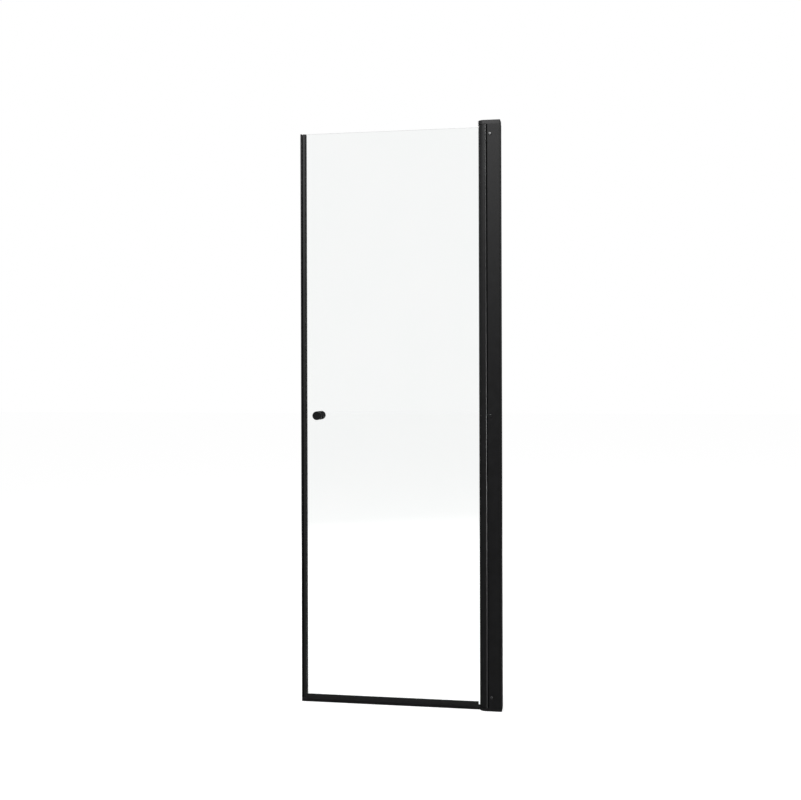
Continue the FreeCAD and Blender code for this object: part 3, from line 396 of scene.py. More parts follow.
@dataclass(frozen=True)
class PowderCoat(Coat):
    """Satin black powder coat: fine orange peel, faint drawing lines of the profile under it."""

    dark: Numbers = (0.0028, 0.0028, 0.003)
    light: Numbers = (0.0042, 0.0042, 0.0045)
    smooth: float = 0.45
    rough: float = 0.53
    gloss: float = 0.13
    grain: Noise = Noise(900.0, 3.0)
    cloud: Noise = Noise(35.0, 4.0)
    share: float = 0.5
    relief: float = 0.25
    depth: float = 0.1
    lines: Noise = Noise(1400.0, 1.0, ALONG)
    line_share: float = 0.3

    def height(self, graph: Graph, grain: Value) -> Value:
        """Relief of the peel with the drawing lines."""
        return grain * (1.0 - self.line_share) + graph.noise(self.lines) * self.line_share


@dataclass(frozen=True)
class Plastic(Coat):
    """Moulded plastic with a spark-eroded grain."""

    dark: Numbers = (0.004, 0.004, 0.0043)
    light: Numbers = (0.006, 0.006, 0.0064)
    smooth: float = 0.38
    rough: float = 0.5
    gloss: float = 0.16
    grain: Noise = Noise(1600.0, 4.0)
    cloud: Noise = Noise(60.0)
    share: float = 1.0
    relief: float = 0.16
    depth: float = 0.08


@dataclass(frozen=True)
class Rubber(Coat):
    """Extruded elastomer: soft sheen, long faint streaks."""

    dark: Numbers = (0.004, 0.004, 0.004)
    light: Numbers = (0.008, 0.008, 0.008)
    smooth: float = 0.45
    rough: float = 0.6
    gloss: float = 0.18
    grain: Noise = Noise(1200.0, 2.0, ALONG)
    cloud: Noise = Noise(180.0, 5.0)
    share: float = 0.6
    relief: float = 0.1
    depth: float = 0.06


@dataclass(frozen=True)
class Steel(Coat):
    """Turned or rolled metal with fine marks."""

    metal: ClassVar[float] = 1.0
    dark: Numbers = (0.42, 0.42, 0.43)
    light: Numbers = (0.56, 0.56, 0.57)
    smooth: float = 0.22
    rough: float = 0.36
    gloss: float = 0.5
    grain: Noise = Noise(3500.0, 2.0, (0.03, 0.03, 1.0))
    cloud: Noise = Noise(220.0, 3.0)
    share: float = 1.0
    relief: float = 0.08
    depth: float = 0.03


@dataclass(frozen=True)
class ClearGlass(Finish):
    """Toughened float glass: clear, with the faint green of its ground edges; light passes it."""

    deep: Numbers = (0.975, 0.99, 0.985)
    clear: Numbers = (0.985, 0.995, 0.99)
    daylight: Numbers = (0.93, 0.96, 0.95, 1.0)
    index: float = 1.5
    ripple: float = 0.012
    veil: Noise = Noise(6.0, 3.0)

    def surface(self, graph: Graph) -> Socket:
        """Build the shader.

        Args:
            graph: where the nodes go.

        Returns:
            The shader socket.
        """
        veil = graph.noise(self.veil)
        body = graph.principled(
            Transmission_Weight=1.0,
            IOR=self.index,
            Base_Color=graph.blend(graph.spread(veil, 0.0, 1.0), self.deep, self.clear),
            Roughness=graph.spread(veil, 0.0, self.ripple),
        )
        lit_through = graph.node("BsdfTransparent", Color=self.daylight).outputs["BSDF"]
        lights = graph.math("MAXIMUM", graph.ray("Is Shadow Ray"), graph.ray("Is Diffuse Ray"))
        return graph.node("MixShader", None, lights, body, lit_through).outputs["Shader"]


@dataclass(frozen=True)
class Ground(Finish):
    """Pale floor: its colour is lifted to white for what looks at it, and it keeps the shadow."""

    tone: float = 0.5
    speck: float = 0.01
    specks: Noise = Noise(40.0, 3.0)
    lift_near: float = 0.74
    lift_far: float = 0.95
    near: float = 1.2
    far: float = 4.0

    def surface(self, graph: Graph) -> Socket:
        """Build the shader.

        Args:
            graph: where the nodes go.

        Returns:
            The shader socket.
        """
        specks = graph.spread(graph.noise(self.specks), 0.0, 1.0)
        away = graph.node("VectorMath", {"operation": "LENGTH"}, graph.place()).outputs["Value"]
        rise = graph.node(
            "MapRange", {"interpolation_type": "SMOOTHSTEP"},
            away, self.near, self.far, self.lift_near, self.lift_far,
        )
        lift = Value(graph, rise.outputs["Result"]) * graph.seen(MIRRORED)
        return graph.principled(
            Specular_IOR_Level=0.0,
            Roughness=0.9,
            Emission_Strength=1.0,
            Base_Color=graph.blend(specks, (self.tone - self.speck,) * 3, (self.tone,) * 3),
            Emission_Color=graph.node("CombineColor", None, lift, lift, lift).outputs["Color"],
        )


BLACK = PowderCoat("black_powder_coat", "satin_black")
BLACK_RUBBED = PowderCoat("black_rubbed_corner", "satin_black", smooth=0.3, rough=0.36, gloss=0.8)
BLACK_ACROSS = PowderCoat(
    "black_powder_coat_across", "satin_black", lines=Noise(1400.0, 1.0, ACROSS)
)
KNOB_BLACK = PowderCoat("black_knob_coat", "knob_black", smooth=0.4, rough=0.48, gloss=0.12)
CAP_PLASTIC = Plastic("black_cap_plastic", "black_cap")
CARRIER_PLASTIC = Plastic(
    "black_carrier_plastic", "black_carrier", smooth=0.3, rough=0.4, grain=Noise(900.0, 4.0)
)
COVER_PLASTIC = Plastic("black_cover_plastic", "black_cap", smooth=0.14, rough=0.22, gloss=0.5)
WHITE_ACETAL = Plastic("white_acetal", "pom", (0.66, 0.66, 0.64), (0.74, 0.74, 0.72), gloss=0.5)
RUBBER = Rubber("black_seal", "black_rubber")
RUBBER_ACROSS = Rubber("black_seal_across", "black_rubber", grain=Noise(1200.0, 2.0, ACROSS))
MAGNET = Rubber("magnet_strip", "magnet", (0.03, 0.025, 0.022), (0.05, 0.042, 0.038))
STEEL = Steel("stainless_steel", "steel")
SOFT_WHITE = Rubber("soft_white_grommet", "soft_white", (0.62, 0.62, 0.6), (0.7, 0.7, 0.68))
GLASS = ClearGlass("float_glass", "clear_glass")
FLOOR = Ground("pale_floor", "")


# --- shapes


@dataclass(frozen=True)
class Turn:
    """A round stretch of an outline: the pen swings about a point."""

    x: float
    y: float
    degrees: float


Step = Union[Turn, Sequence[float]]
OVER = Matrix.Rotation(math.pi, 4, "X")


def polar(radius: float, degrees: float) -> Numbers:
    """Point at an angle on a circle round the origin."""
    angle = math.radians(degrees)
    return radius * math.cos(angle), radius * math.sin(angle)


class Shape:
    """A mesh under construction, in millimetres: a flat section, then a solid."""

    def __init__(self) -> None:
        """Start with an empty mesh."""
        self.mesh = bmesh.new()

    @staticmethod
    def picked(made: Iterable, kind: type) -> list:
        """Those of an operator's results that are of one kind."""
        return [item for item in made if isinstance(item, kind)]

    @staticmethod
    def ends(edges: Iterable[Edge]) -> list[Vert]:
        """The points of some edges, each once and in order."""
        return list(dict.fromkeys(vert for edge in edges for vert in edge.verts))

    def _spun(self, geom: Sequence, centre: Sequence[float], angle: float, steps: int, full: bool) -> dict:
        """Spin points or edges about an upright axis.

        Args:
            geom: what is spun.
            centre: a point on the axis.
            angle: how far, in radians.
            steps: how many steps it takes.
            full: whether the end meets the start.

        Returns:
            The operator's result.
        """
        return bmesh.ops.spin(
            self.mesh, geom=geom, cent=centre, axis=(0.0, 0.0, 1.0), dvec=(0.0, 0.0, 0.0),
            angle=angle, steps=steps, use_merge=full, use_normal_flip=False, use_duplicate=False,
        )

    def _swing(self, vert: Vert, turn: Turn) -> Vert:
        """Swing the pen.

        Args:
            vert: where the pen is.
            turn: centre and angle.

        Returns:
            Where the pen stops.
        """
        steps = max(2, round(abs(turn.degrees) / FINE_ARC))
        centre = (turn.x, turn.y, vert.co.z)
        swung = self._spun([vert], centre, math.radians(turn.degrees), steps, full=False)
        return self.picked(swung["geom_last"], Vert)[0]

    def outline(self, steps: Sequence[Step], level: float = 0.0, close: bool = True) -> list[Edge]:
        """Draw an outline with the pen.

        Args:
            steps: points (x, y), points with a rounding (x, y, radius), and turns.
            level: height of the section.
            close: join the last point to the first.

        Returns:
            The new edges.
        """
        before = set(self.mesh.edges)
        fixed = self._stops(steps)
        start: Optional[Vert] = None
        pen: Optional[Vert] = None
        for index, step in enumerate(steps):
            if isinstance(step, Turn):
                pen = self._swing(pen, step)
                continue
            here = fixed[index]
            radius = step[2] if len(step) > 2 else 0.0
            turn = None
            if radius:
                back = fixed[index - 1]
                ahead = fixed[(index + 1) % len(steps)]
                turn, here = self._rounding(back, here, ahead, radius)
            vert = self.mesh.verts.new((here.x, here.y, level))
            if pen is not None:
                self.mesh.edges.new((pen, vert))
            start = start or vert
            pen = self._swing(vert, turn) if turn else vert
        if close and (pen.co - start.co).length > WELD:
            self.mesh.edges.new((pen, start))
        drawn = [edge for edge in self.mesh.edges if edge not in before]
        bmesh.ops.remove_doubles(self.mesh, verts=self.ends(drawn), dist=WELD)
        return [edge for edge in self.mesh.edges if edge not in before]

    @staticmethod
    def _stops(steps: Sequence[Step]) -> list[Vector]:
        """Where each step of an outline ends, before any rounding.

        Args:
            steps: points and turns.

        Returns:
            One point for each step.
        """
        stops = []
        for step in steps:
            if isinstance(step, Turn):
                centre = Vector((step.x, step.y))
                stops.append(centre + Matrix.Rotation(math.radians(step.degrees), 2) @ (stops[-1] - centre))
            else:
                stops.append(Vector(step[:2]))
        return stops

    @staticmethod
    def _rounding(back: Vector, corner: Vector, ahead: Vector, radius: float) -> tuple[Turn, Vector]:
        """Work out where a rounding starts and how it turns.

        Args:
            back: point before the corner.
            corner: the corner.
            ahead: point after the corner.
            radius: its radius.

        Returns:
            The turn, and the point where it starts.
        """
        arrive = (corner - back).normalized()
        leave = (ahead - corner).normalized()
        angle = -arrive.angle_signed(leave)
        reach = radius * math.tan(abs(angle) / 2)
        start = corner - arrive * reach
        side = 1.0 if angle > 0 else -1.0
        centre = start + Vector((-arrive.y, arrive.x)) * radius * side
        return Turn(centre.x, centre.y, math.degrees(angle)), start

    def circle(self, radius: float, x: float = 0.0, y: float = 0.0, level: float = 0.0) -> list[Edge]:
        """Draw a circle.

        Args:
            radius: its radius.
            x: its centre.
            y: its centre.
            level: height of the section.

        Returns:
            The new edges.
        """
        sides = max(24, 12 * round(4 + radius / 3))
        made = bmesh.ops.create_circle(
            self.mesh, segments=sides, radius=radius, matrix=Matrix.Translation((x, y, level))
        )
        return list(dict.fromkeys(edge for vert in made["verts"] for edge in vert.link_edges))

    def fill(self, edges: Sequence[Edge]) -> list[Face]:
        """Close a section, leaving its inner outlines open.

        Args:
            edges: all its outlines.

        Returns:
            The new faces.
        """
        made = bmesh.ops.triangle_fill(
            self.mesh, use_beauty=True, use_dissolve=False, edges=list(edges), normal=(0, 0, 1)
        )
        return self.picked(made["geom"], Face)

    def pull(self, faces: Sequence[Face], length: float) -> None:
        """Pull a section up into a bar.

        Args:
            faces: the section's faces.
            length: how far.
        """
        made = bmesh.ops.extrude_face_region(self.mesh, geom=list(faces))
        verts = self.picked(made["geom"], Vert)
        bmesh.ops.translate(self.mesh, verts=verts, vec=(0.0, 0.0, length))

    def walls(
        self, ring: Sequence[Edge], length: float, shrink: float = 1.0, x: float = 0.0, y: float = 0.0
    ) -> list[Edge]:
        """Pull a wall up from an outline.

        Args:
            ring: the outline.
            length: how far.
            shrink: size of the far end against the near one.
            x: what the far end shrinks towards.
            y: what the far end shrinks towards.

        Returns:
            The outline at the far end.
        """
        made = bmesh.ops.extrude_edge_only(self.mesh, edges=ring)
        verts = self.picked(made["geom"], Vert)
        if shrink != 1.0:
            centre = Matrix.Translation((-x, -y, 0))
            bmesh.ops.scale(self.mesh, vec=(shrink, shrink, 1), space=centre, verts=verts)
        bmesh.ops.translate(self.mesh, verts=verts, vec=(0.0, 0.0, length))
        return self.picked(made["geom"], Edge)

    def opened(self, level: float) -> list[Edge]:
        """Take out the largest level face at a height.

        Args:
            level: the height.

        Returns:
            The outline that it leaves.
        """
        faces = [
            face for face in self.mesh.faces
            if all(abs(vert.co.z - level) < NEAR for vert in face.verts)
        ]
        face = max(faces, key=lambda found: found.calc_area())
        border = list(face.edges)
        bmesh.ops.delete(self.mesh, geom=[face], context="FACES_ONLY")
        return border

    def sink(self, level: float, circles: Sequence[Numbers], depth: float) -> None:
        """Sink round recesses in a flat face.

        Args:
            level: height of the face.
            circles: radius and centre of each.
            depth: how far they go, along Z.
        """
        border = self.opened(level)
        rings = [self.circle(*ring, level=level) for ring in circles]
        self.fill(border + [edge for ring in rings for edge in ring])
        for ring in rings:
            bmesh.ops.contextual_create(self.mesh, geom=self.walls(ring, depth))

    def bar(self, outlines: Sequence, low: float, high: float) -> "Shape":
        """Make a bar from outlines: the first is the outside, the others are hollows.

        Args:
            outlines: a list of pen steps each, or a tuple (radius, x, y) for a circle.
            low: where the bar starts.
            high: where it ends.

        Returns:
            This shape.
        """
        edges = []
        for steps in outlines:
            edges += self.outline(steps, low) if isinstance(steps, list) else self.circle(*steps, level=low)
        self.pull(self.fill(edges), high - low)
        return self

    def turned(self, steps: Sequence[Step]) -> "Shape":
        """Turn a profile about the vertical axis.

        Args:
            steps: the profile in X and Y, Y being the height; it starts and ends on the axis.

        Returns:
            This shape.
        """
        edges = self.outline(steps, close=False)
        verts = self.ends(edges)
        upright = Matrix.Rotation(math.pi / 2, 4, "X")
        bmesh.ops.transform(self.mesh, matrix=upright, verts=verts)
        self._spun(verts + edges, (0.0, 0.0, 0.0), math.tau, LATHE_STEPS, full=True)
        bmesh.ops.remove_doubles(self.mesh, verts=self.mesh.verts, dist=WELD)
        return self

    def soften(self, radius: float, segments: int, test: Callable[[Edge], bool]) -> "Shape":
        """Round the edges that pass a test.

        Args:
            radius: width of the rounding.
            segments: how many faces it has.
            test: says of an edge whether it is rounded.

        Returns:
            This shape.
        """
        bmesh.ops.bevel(
            self.mesh,
            geom=[edge for edge in self.mesh.edges if test(edge)],
            offset=radius,
            offset_type="OFFSET",
            segments=segments,
            profile=0.5,
            affect="EDGES",
            material=-1,
            clamp_overlap=True,
        )
        return self

    def moved(self, facing: Facing, x: float = 0.0, y: float = 0.0, z: float = 0.0) -> "Shape":
        """Lay the shape in the frame.

        Args:
            facing: how its section lies.
            x: place of its origin.
            y: place of its origin.
            z: place of its origin.

        Returns:
            This shape.
        """
        matrix = Matrix.Translation((x, y, z)) @ facing.matrix()
        bmesh.ops.transform(self.mesh, matrix=matrix, verts=self.mesh.verts)
        return self

    def flipped(self) -> "Shape":
        """Turn the shape upside down."""
        bmesh.ops.transform(self.mesh, matrix=OVER, verts=self.mesh.verts)
        return self

    def copied(self, places: Sequence[Matrix]) -> "Shape":
        """Repeat the shape.

        Args:
            places: how each copy is moved.

        Returns:
            This shape.
        """
        geometry = list(self.mesh.verts) + list(self.mesh.edges) + list(self.mesh.faces)
        for place in places:
            made = bmesh.ops.duplicate(self.mesh, geom=geometry)
            verts = self.picked(made["geom"], Vert)
            bmesh.ops.transform(self.mesh, matrix=place, verts=verts)
        return self

    def up_to(self, levels: Sequence[float]) -> "Shape":
        """Repeat the shape, which stands at the first of some levels, at the others."""
        return self.copied([Matrix.Translation((0.0, 0.0, level - levels[0])) for level in levels[1:]])

    def piece(
        self, name: str, body: Body, finish: Finish, replaces: Sequence[str] = ()
    ) -> bpy.types.Object:
        """Finish the mesh as a piece of the door.

        Args:
            name: name of the piece.
            body: what it moves with.
            finish: what it is made of.
            replaces: CAD nodes it stands for.

        Returns:
            The new object.
        """
        bmesh.ops.scale(self.mesh, vec=(MM, MM, MM), verts=self.mesh.verts)
        bmesh.ops.recalc_face_normals(self.mesh, faces=self.mesh.faces)
        data = bpy.data.meshes.new(name)
        self.mesh.to_mesh(data)
        self.mesh.free()
        data.shade_smooth()
        data.set_sharp_from_angle(angle=math.radians(SMOOTH_BELOW))
        piece = bpy.data.objects.new(name, data)
        bpy.context.scene.collection.objects.link(piece)
        weighted = piece.modifiers.new("flats_stay_flat", "WEIGHTED_NORMAL")
        weighted.mode = "FACE_AREA"
        weighted.weight = 100
        weighted.keep_sharp = True
        data.materials.append(finish.material())
        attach(piece, body.value)
        if replaces:
            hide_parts(*replaces)
        LOG.info("%s: %d faces", name, len(data.polygons))
        return piece


def dress(finish: Finish, nodes: Sequence[str]) -> None:
    """Give CAD nodes a finish.

    Args:
        finish: what they are made of.
        nodes: their names.
    """
    for name in nodes:
        data = frame["nodes"][name].data
        data.materials.clear()
        data.materials.append(finish.material())
        LOG.info("%s: %s", name, finish.name)


def span(node: str, axis: int) -> tuple[float, float]:
    """Where a CAD node starts and ends along an axis.

    Args:
        node: its name.
        axis: 0, 1 or 2.

    Returns:
        Both ends in millimetres.
    """
    low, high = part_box(node)
    return low[axis] / MM, high[axis] / MM


def softened(node: str, radius: float, body: Body, finish: Finish, segments: int = 3) -> None:
    """Stand for a flat-sided CAD node with a copy whose sharp edges are rounded.

    Args:
        node: its name.
        radius: width of the rounding.
        body: what it moves with.
        finish: what it is made of.
        segments: how many faces the rounding has.
    """
    shape = Shape()
    shape.mesh.from_mesh(frame["nodes"][node].data)
    bmesh.ops.scale(shape.mesh, vec=(1 / MM,) * 3, verts=shape.mesh.verts)
    bmesh.ops.remove_doubles(shape.mesh, verts=shape.mesh.verts, dist=NEAR)
    bmesh.ops.dissolve_limit(
        shape.mesh, angle_limit=math.radians(0.5), verts=shape.mesh.verts, edges=shape.mesh.edges
    )

    def sharp(edge: Edge) -> bool:
        """Whether an edge is between two faces that meet at a corner."""
        return len(edge.link_faces) == 2 and edge.calc_face_angle() > math.radians(SHARP_CORNER)

    shape.soften(radius, segments, sharp)
    shape.piece(node + "_finished", body, finish, [node])


@dataclass(frozen=True)
class Screw:
    """A screw with a six-sided socket, head up, the underside of its head at height 0."""

    head: float
    height: float
    shank: float
    length: float
    rounding: float
    socket: float = 1.25
    depth: float = 1.3

    def shape(self) -> Shape:
        """Turn the screw and make its round recess six-sided.

        Returns:
            The screw.
        """
        rim = self.height - self.rounding
        floor = self.height - self.depth
        made = Shape().turned([
            (0.0, -self.length), (self.shank, -self.length), (self.shank, 0.0), (self.head, 0.0),
            (self.head, rim), Turn(self.head - self.rounding, rim, 90), (self.socket, self.height),
            (self.socket, floor), (0.0, floor),
        ])
        for vert in made.mesh.verts:
            if abs(vert.co.xy.length - self.socket) < NEAR:
                turn = math.atan2(vert.co.y, vert.co.x) % (math.pi / 3) - math.pi / 6
                vert.co.xy *= math.cos(math.pi / 6) / math.cos(turn)
        return made


# --- sub-assemblies


@dataclass
class HingePost:
    """Fixed post on the hinge wall: jamb profile, bearing caps, screws and covers."""

    pivot: float = 295.3
    half_depth: float = 23.2
    skin: float = 1.8
    lip: float = 10.0
    back: float = 50.7
    cup: float = 22.05
    cup_wall: float = 2.5
    seal_neck: float = 1.5
    rib_start: float = 33.36
    rib_width: float = 3.0
    foot_width: float = 10.0
    rib_reach: float = 18.4
    port: float = 3.4
    port_bore: float = 1.45
    port_x: float = 24.0
    port_y: float = 11.0
    corner: float = 1.2
    cap_back: float = 54.1
    cap_rounding: float = 1.4
    cap_corner: float = 1.9
    cap_cavity: float = 5.86
    cap_boss: float = 7.0
    pin_bore: float = 4.02
    head: float = 3.6
    head_depth: float = 2.6
    dome: float = 5.2
    dome_height: float = 2.9
    dome_shoulder: float = 1.6
    dome_x: float = 19.6
    dome_levels: Numbers = (47.0, 1000.0, 1953.0)
    shank: float = 1.75
    shank_length: float = 4.6
    foot_cap: Numbers = (0.0, 8.5)
    top_cap: Numbers = (1986.5, 2000.0)
    foot_pin_depth: float = 6.7
    top_pin_depth: float = 11.7
    spigot_x: Numbers = (28.0, 45.0)
    spigot_y: float = 18.2
    spigot_height: float = 6.0
    screw: Screw = Screw(head=3.2, height=2.2, shank=1.4, length=17.0, rounding=0.4)

    def jamb(self) -> None:
        """Jamb profile: cup, lips, ribs and screw ports."""
        low, high = span("hinge_jamb_profile", 2)
        half = self.half_depth
        inner = half - self.skin
        outer = self.cup + self.cup_wall
        lip_y = math.sqrt(self.cup ** 2 - self.lip ** 2)
        lip_angle = math.degrees(math.acos(self.lip / self.cup))
        room_x = math.sqrt(outer ** 2 - inner ** 2)
        room_angle = math.degrees(math.atan2(inner, room_x))
        second = self.rib_start + self.rib_width + self.foot_width
        inset = self.rib_reach + self.seal_neck
        ribs = []
        place = lip_angle
        for end, reach in ((second, inset), (self.rib_start, self.rib_reach)):
            start = end + self.rib_width
            ribs += [
                Turn(0, 0, start - place), polar(reach, start),
                Turn(0, 0, end - start), polar(self.cup, end),
            ]
            place = end
        ribs.append(Turn(0, 0, -lip_angle - place))
        outline = [
            (self.lip, -half, self.corner), (self.back, -half), (self.back, -inner),
            (room_x, -inner), Turn(0, 0, 2 * room_angle), (self.back, inner), (self.back, half),
            (self.lip, half, self.corner), (self.lip, lip_y), *ribs,
        ]
        shape = Shape().bar([outline], low, high)
        for side in (-1, 1):
            y = self.port_y * side
            shape.bar([(self.port, self.port_x, y), (self.port_bore, self.port_x, y)], low, high)
        shape.moved(Facing.UP, x=self.pivot)
        shape.piece("jamb_extrusion", Body.FRAME, BLACK, ["hinge_jamb_profile"])

    def cap(self, name: str, node: str, low: float, high: float, top: bool) -> None:
        """A bearing cap, half round towards the door, with its rim, counterbores and spigot.

        Args:
            name: name of the piece.
            node: CAD node it stands for.
            low: height of its underside.
            high: height of its upper side.
            top: whether it is the one at the head of the post.
        """
        half = self.half_depth
        rim, seat, inwards = (high, low, -1) if top else (low, high, 1)
        shape = Shape()
        block = shape.outline([
            (0, half), Turn(0, 0, 180), (self.cap_back, -half, self.cap_corner),
            (self.cap_back, half, self.cap_corner),
        ], low)
        shape.pull(bmesh.ops.contextual_create(shape.mesh, geom=block)["faces"], high - low)
        shape.soften(
            self.cap_rounding, 5,
            lambda edge: all(abs(vert.co.z - rim) < NEAR for vert in edge.verts),
        )
        heads = [(self.head, self.port_x, side * self.port_y) for side in (-1, 1)]
        shape.sink(rim, heads, inwards * self.head_depth)
        if top:
            self._cavity(shape, seat)
        else:
            shape.sink(seat, [(self.pin_bore, 0.0, 0.0)], -self.foot_pin_depth)
        near, far = self.spigot_x
        side = self.spigot_y
        ends = sorted((seat, seat + inwards * self.spigot_height))
        shape.bar([[(near, -side), (far, -side), (far, side), (near, side)]], *ends)
        shape.moved(Facing.UP, x=self.pivot)
        shape.piece(name, Body.FRAME, CAP_PLASTIC, [node])

    def _cavity(self, shape: Shape, level: float) -> None:
        """Room for the rising stile round the boss of the top cap, and the bore of the pin.

        Args:
            shape: the cap.
            level: height of its underside.
        """
        border = shape.opened(level)
        wall = shape.circle(self.cup, level=level)
        boss = shape.circle(self.cap_boss, level=level)
        bore = shape.circle(self.pin_bore, level=level)
        shape.fill(border + wall)
        shape.fill(boss + bore)
        shape.fill(shape.walls(wall, self.cap_cavity) + shape.walls(boss, self.cap_cavity))
        bmesh.ops.contextual_create(shape.mesh, geom=shape.walls(bore, self.top_pin_depth))

    def adjusters(self) -> None:
        """Adjusting screws with their domed heads."""
        rise = self.dome_height
        shoulder = self.dome_shoulder
        profile = [
            (0.0, -self.shank_length), (self.shank, -self.shank_length), (self.shank, 0.0),
            (self.dome, 0.0), (self.dome, rise - shoulder),
            Turn(self.dome - shoulder, rise - shoulder, 90), (0.0, rise),
        ]
        shape = Shape().turned(profile)
        place = self.pivot + self.dome_x
        shape.moved(Facing.BACK, x=place, y=-self.half_depth, z=self.dome_levels[0])
        shape.up_to(self.dome_levels)
        shape.piece("adjusting_screws", Body.FRAME, COVER_PLASTIC, ["adjust_screws"])

    def cap_screws(self) -> None:
        """Four screws in the counterbores of the caps."""
        low, high = span("cap_screws", 2)
        shape = self.screw.shape()
        place = self.pivot + self.port_x
        shape.moved(Facing.UP, x=place, y=self.port_y, z=high - self.screw.height)
        shape.copied([Matrix.Translation((0.0, -2 * self.port_y, 0.0))])
        shape.copied([Matrix.Translation((0.0, 0.0, low + high)) @ OVER])
        shape.piece("cap_socket_screws", Body.FRAME, STEEL, ["cap_screws"])

    def build(self) -> None:
        """Build the post."""
        self.jamb()
        self.cap_screws()
        self.cap("bearing_cap_top", "top_bearing_cap", *self.top_cap, top=True)
        self.cap("bearing_cap_foot", "bottom_bearing_cap", *self.foot_cap, top=False)
        self.adjusters()
        dress(BLACK, ["hinge_wall_channel"])
        dress(RUBBER, ["post_seal"])
        dress(STEEL, ["lower_pivot_pin", "upper_pivot_pin", "collar_clip"])
        dress(WHITE_ACETAL, ["lift_cam", "pivot_collar"])


@dataclass
class HingeStile:
    """Rotating profile that holds the glass."""

    pivot: float = 295.3
    nose: float = 21.6
    back: float = 7.0
    corner: float = 3.5
    barrel: float = 17.0
    skin: float = 1.8
    chamber: float = 10.0
    slot: float = 4.6
    hollow_start: float = 97.0
    hollow_end: float = 156.0

    def extrusion(self) -> None:
        """The profile itself."""
        low, high = span("hinge_stile", 2)
        mouth = math.sqrt(self.nose ** 2 - self.slot ** 2)
        floor = self.chamber + self.skin
        corner_x = self.back - self.corner
        corner_y = math.sqrt((self.nose - self.corner) ** 2 - corner_x ** 2)
        corner_angle = math.degrees(math.atan2(corner_y, corner_x))
        mouth_angle = math.degrees(math.atan2(self.slot, mouth))
        sweep = 180 - mouth_angle - corner_angle
        neck_y = math.sqrt(self.barrel ** 2 - self.back ** 2)
        neck_angle = math.degrees(math.atan2(neck_y, self.back))
        outline = [
            (-floor, -self.slot), (-mouth, -self.slot), Turn(0, 0, sweep),
            Turn(corner_x, -corner_y, corner_angle), (self.back, -neck_y),
            Turn(0, 0, 2 * neck_angle), (self.back, corner_y),
            Turn(corner_x, corner_y, corner_angle), Turn(0, 0, sweep), (-floor, self.slot),
        ]
        inner = self.barrel - self.skin
        half = math.sqrt(inner ** 2 - self.chamber ** 2)
        half_angle = math.degrees(math.atan2(half, self.chamber))
        room = [(-self.chamber, -half), Turn(0, 0, 360 - 2 * half_angle)]
        outlines = [outline, room, self._hollow(1), self._hollow(-1)]
        shape = Shape().bar(outlines, low, high)
        shape.moved(Facing.UP, x=self.pivot)
        stile = shape.piece("stile_extrusion", Body.DOOR, BLACK, ["hinge_stile"])
        stile.data.materials.append(BLACK_RUBBED.material())
        centre = Vector(((self.pivot + corner_x) * MM, 0.0))
        for face in stile.data.polygons:
            beyond = face.center.xy - centre
            outside = abs(beyond.y) > corner_y * MM and beyond.x > 0
            face.material_index = int(outside and abs(face.normal.z) < 0.5)

    def _hollow(self, side: int) -> list[Step]:
        """Outline of one of the two hollows.

        Args:
            side: 1 behind the glass, -1 in front of it.

        Returns:
            The pen steps.
        """
        start, end = self.hollow_start * side, self.hollow_end * side
        outer = self.nose - self.skin
        return [
            polar(self.barrel, start), polar(outer, start), Turn(0, 0, end - start),
            polar(self.barrel, end), Turn(0, 0, start - end),
        ]

    def build(self) -> None:
        """Build the stile and what it holds."""
        self.extrusion()
        dress(RUBBER, ["glazing_gasket"])
        dress(WHITE_ACETAL, ["setting_block", "cam_follower"])
        dress(STEEL, ["follower_screws"])


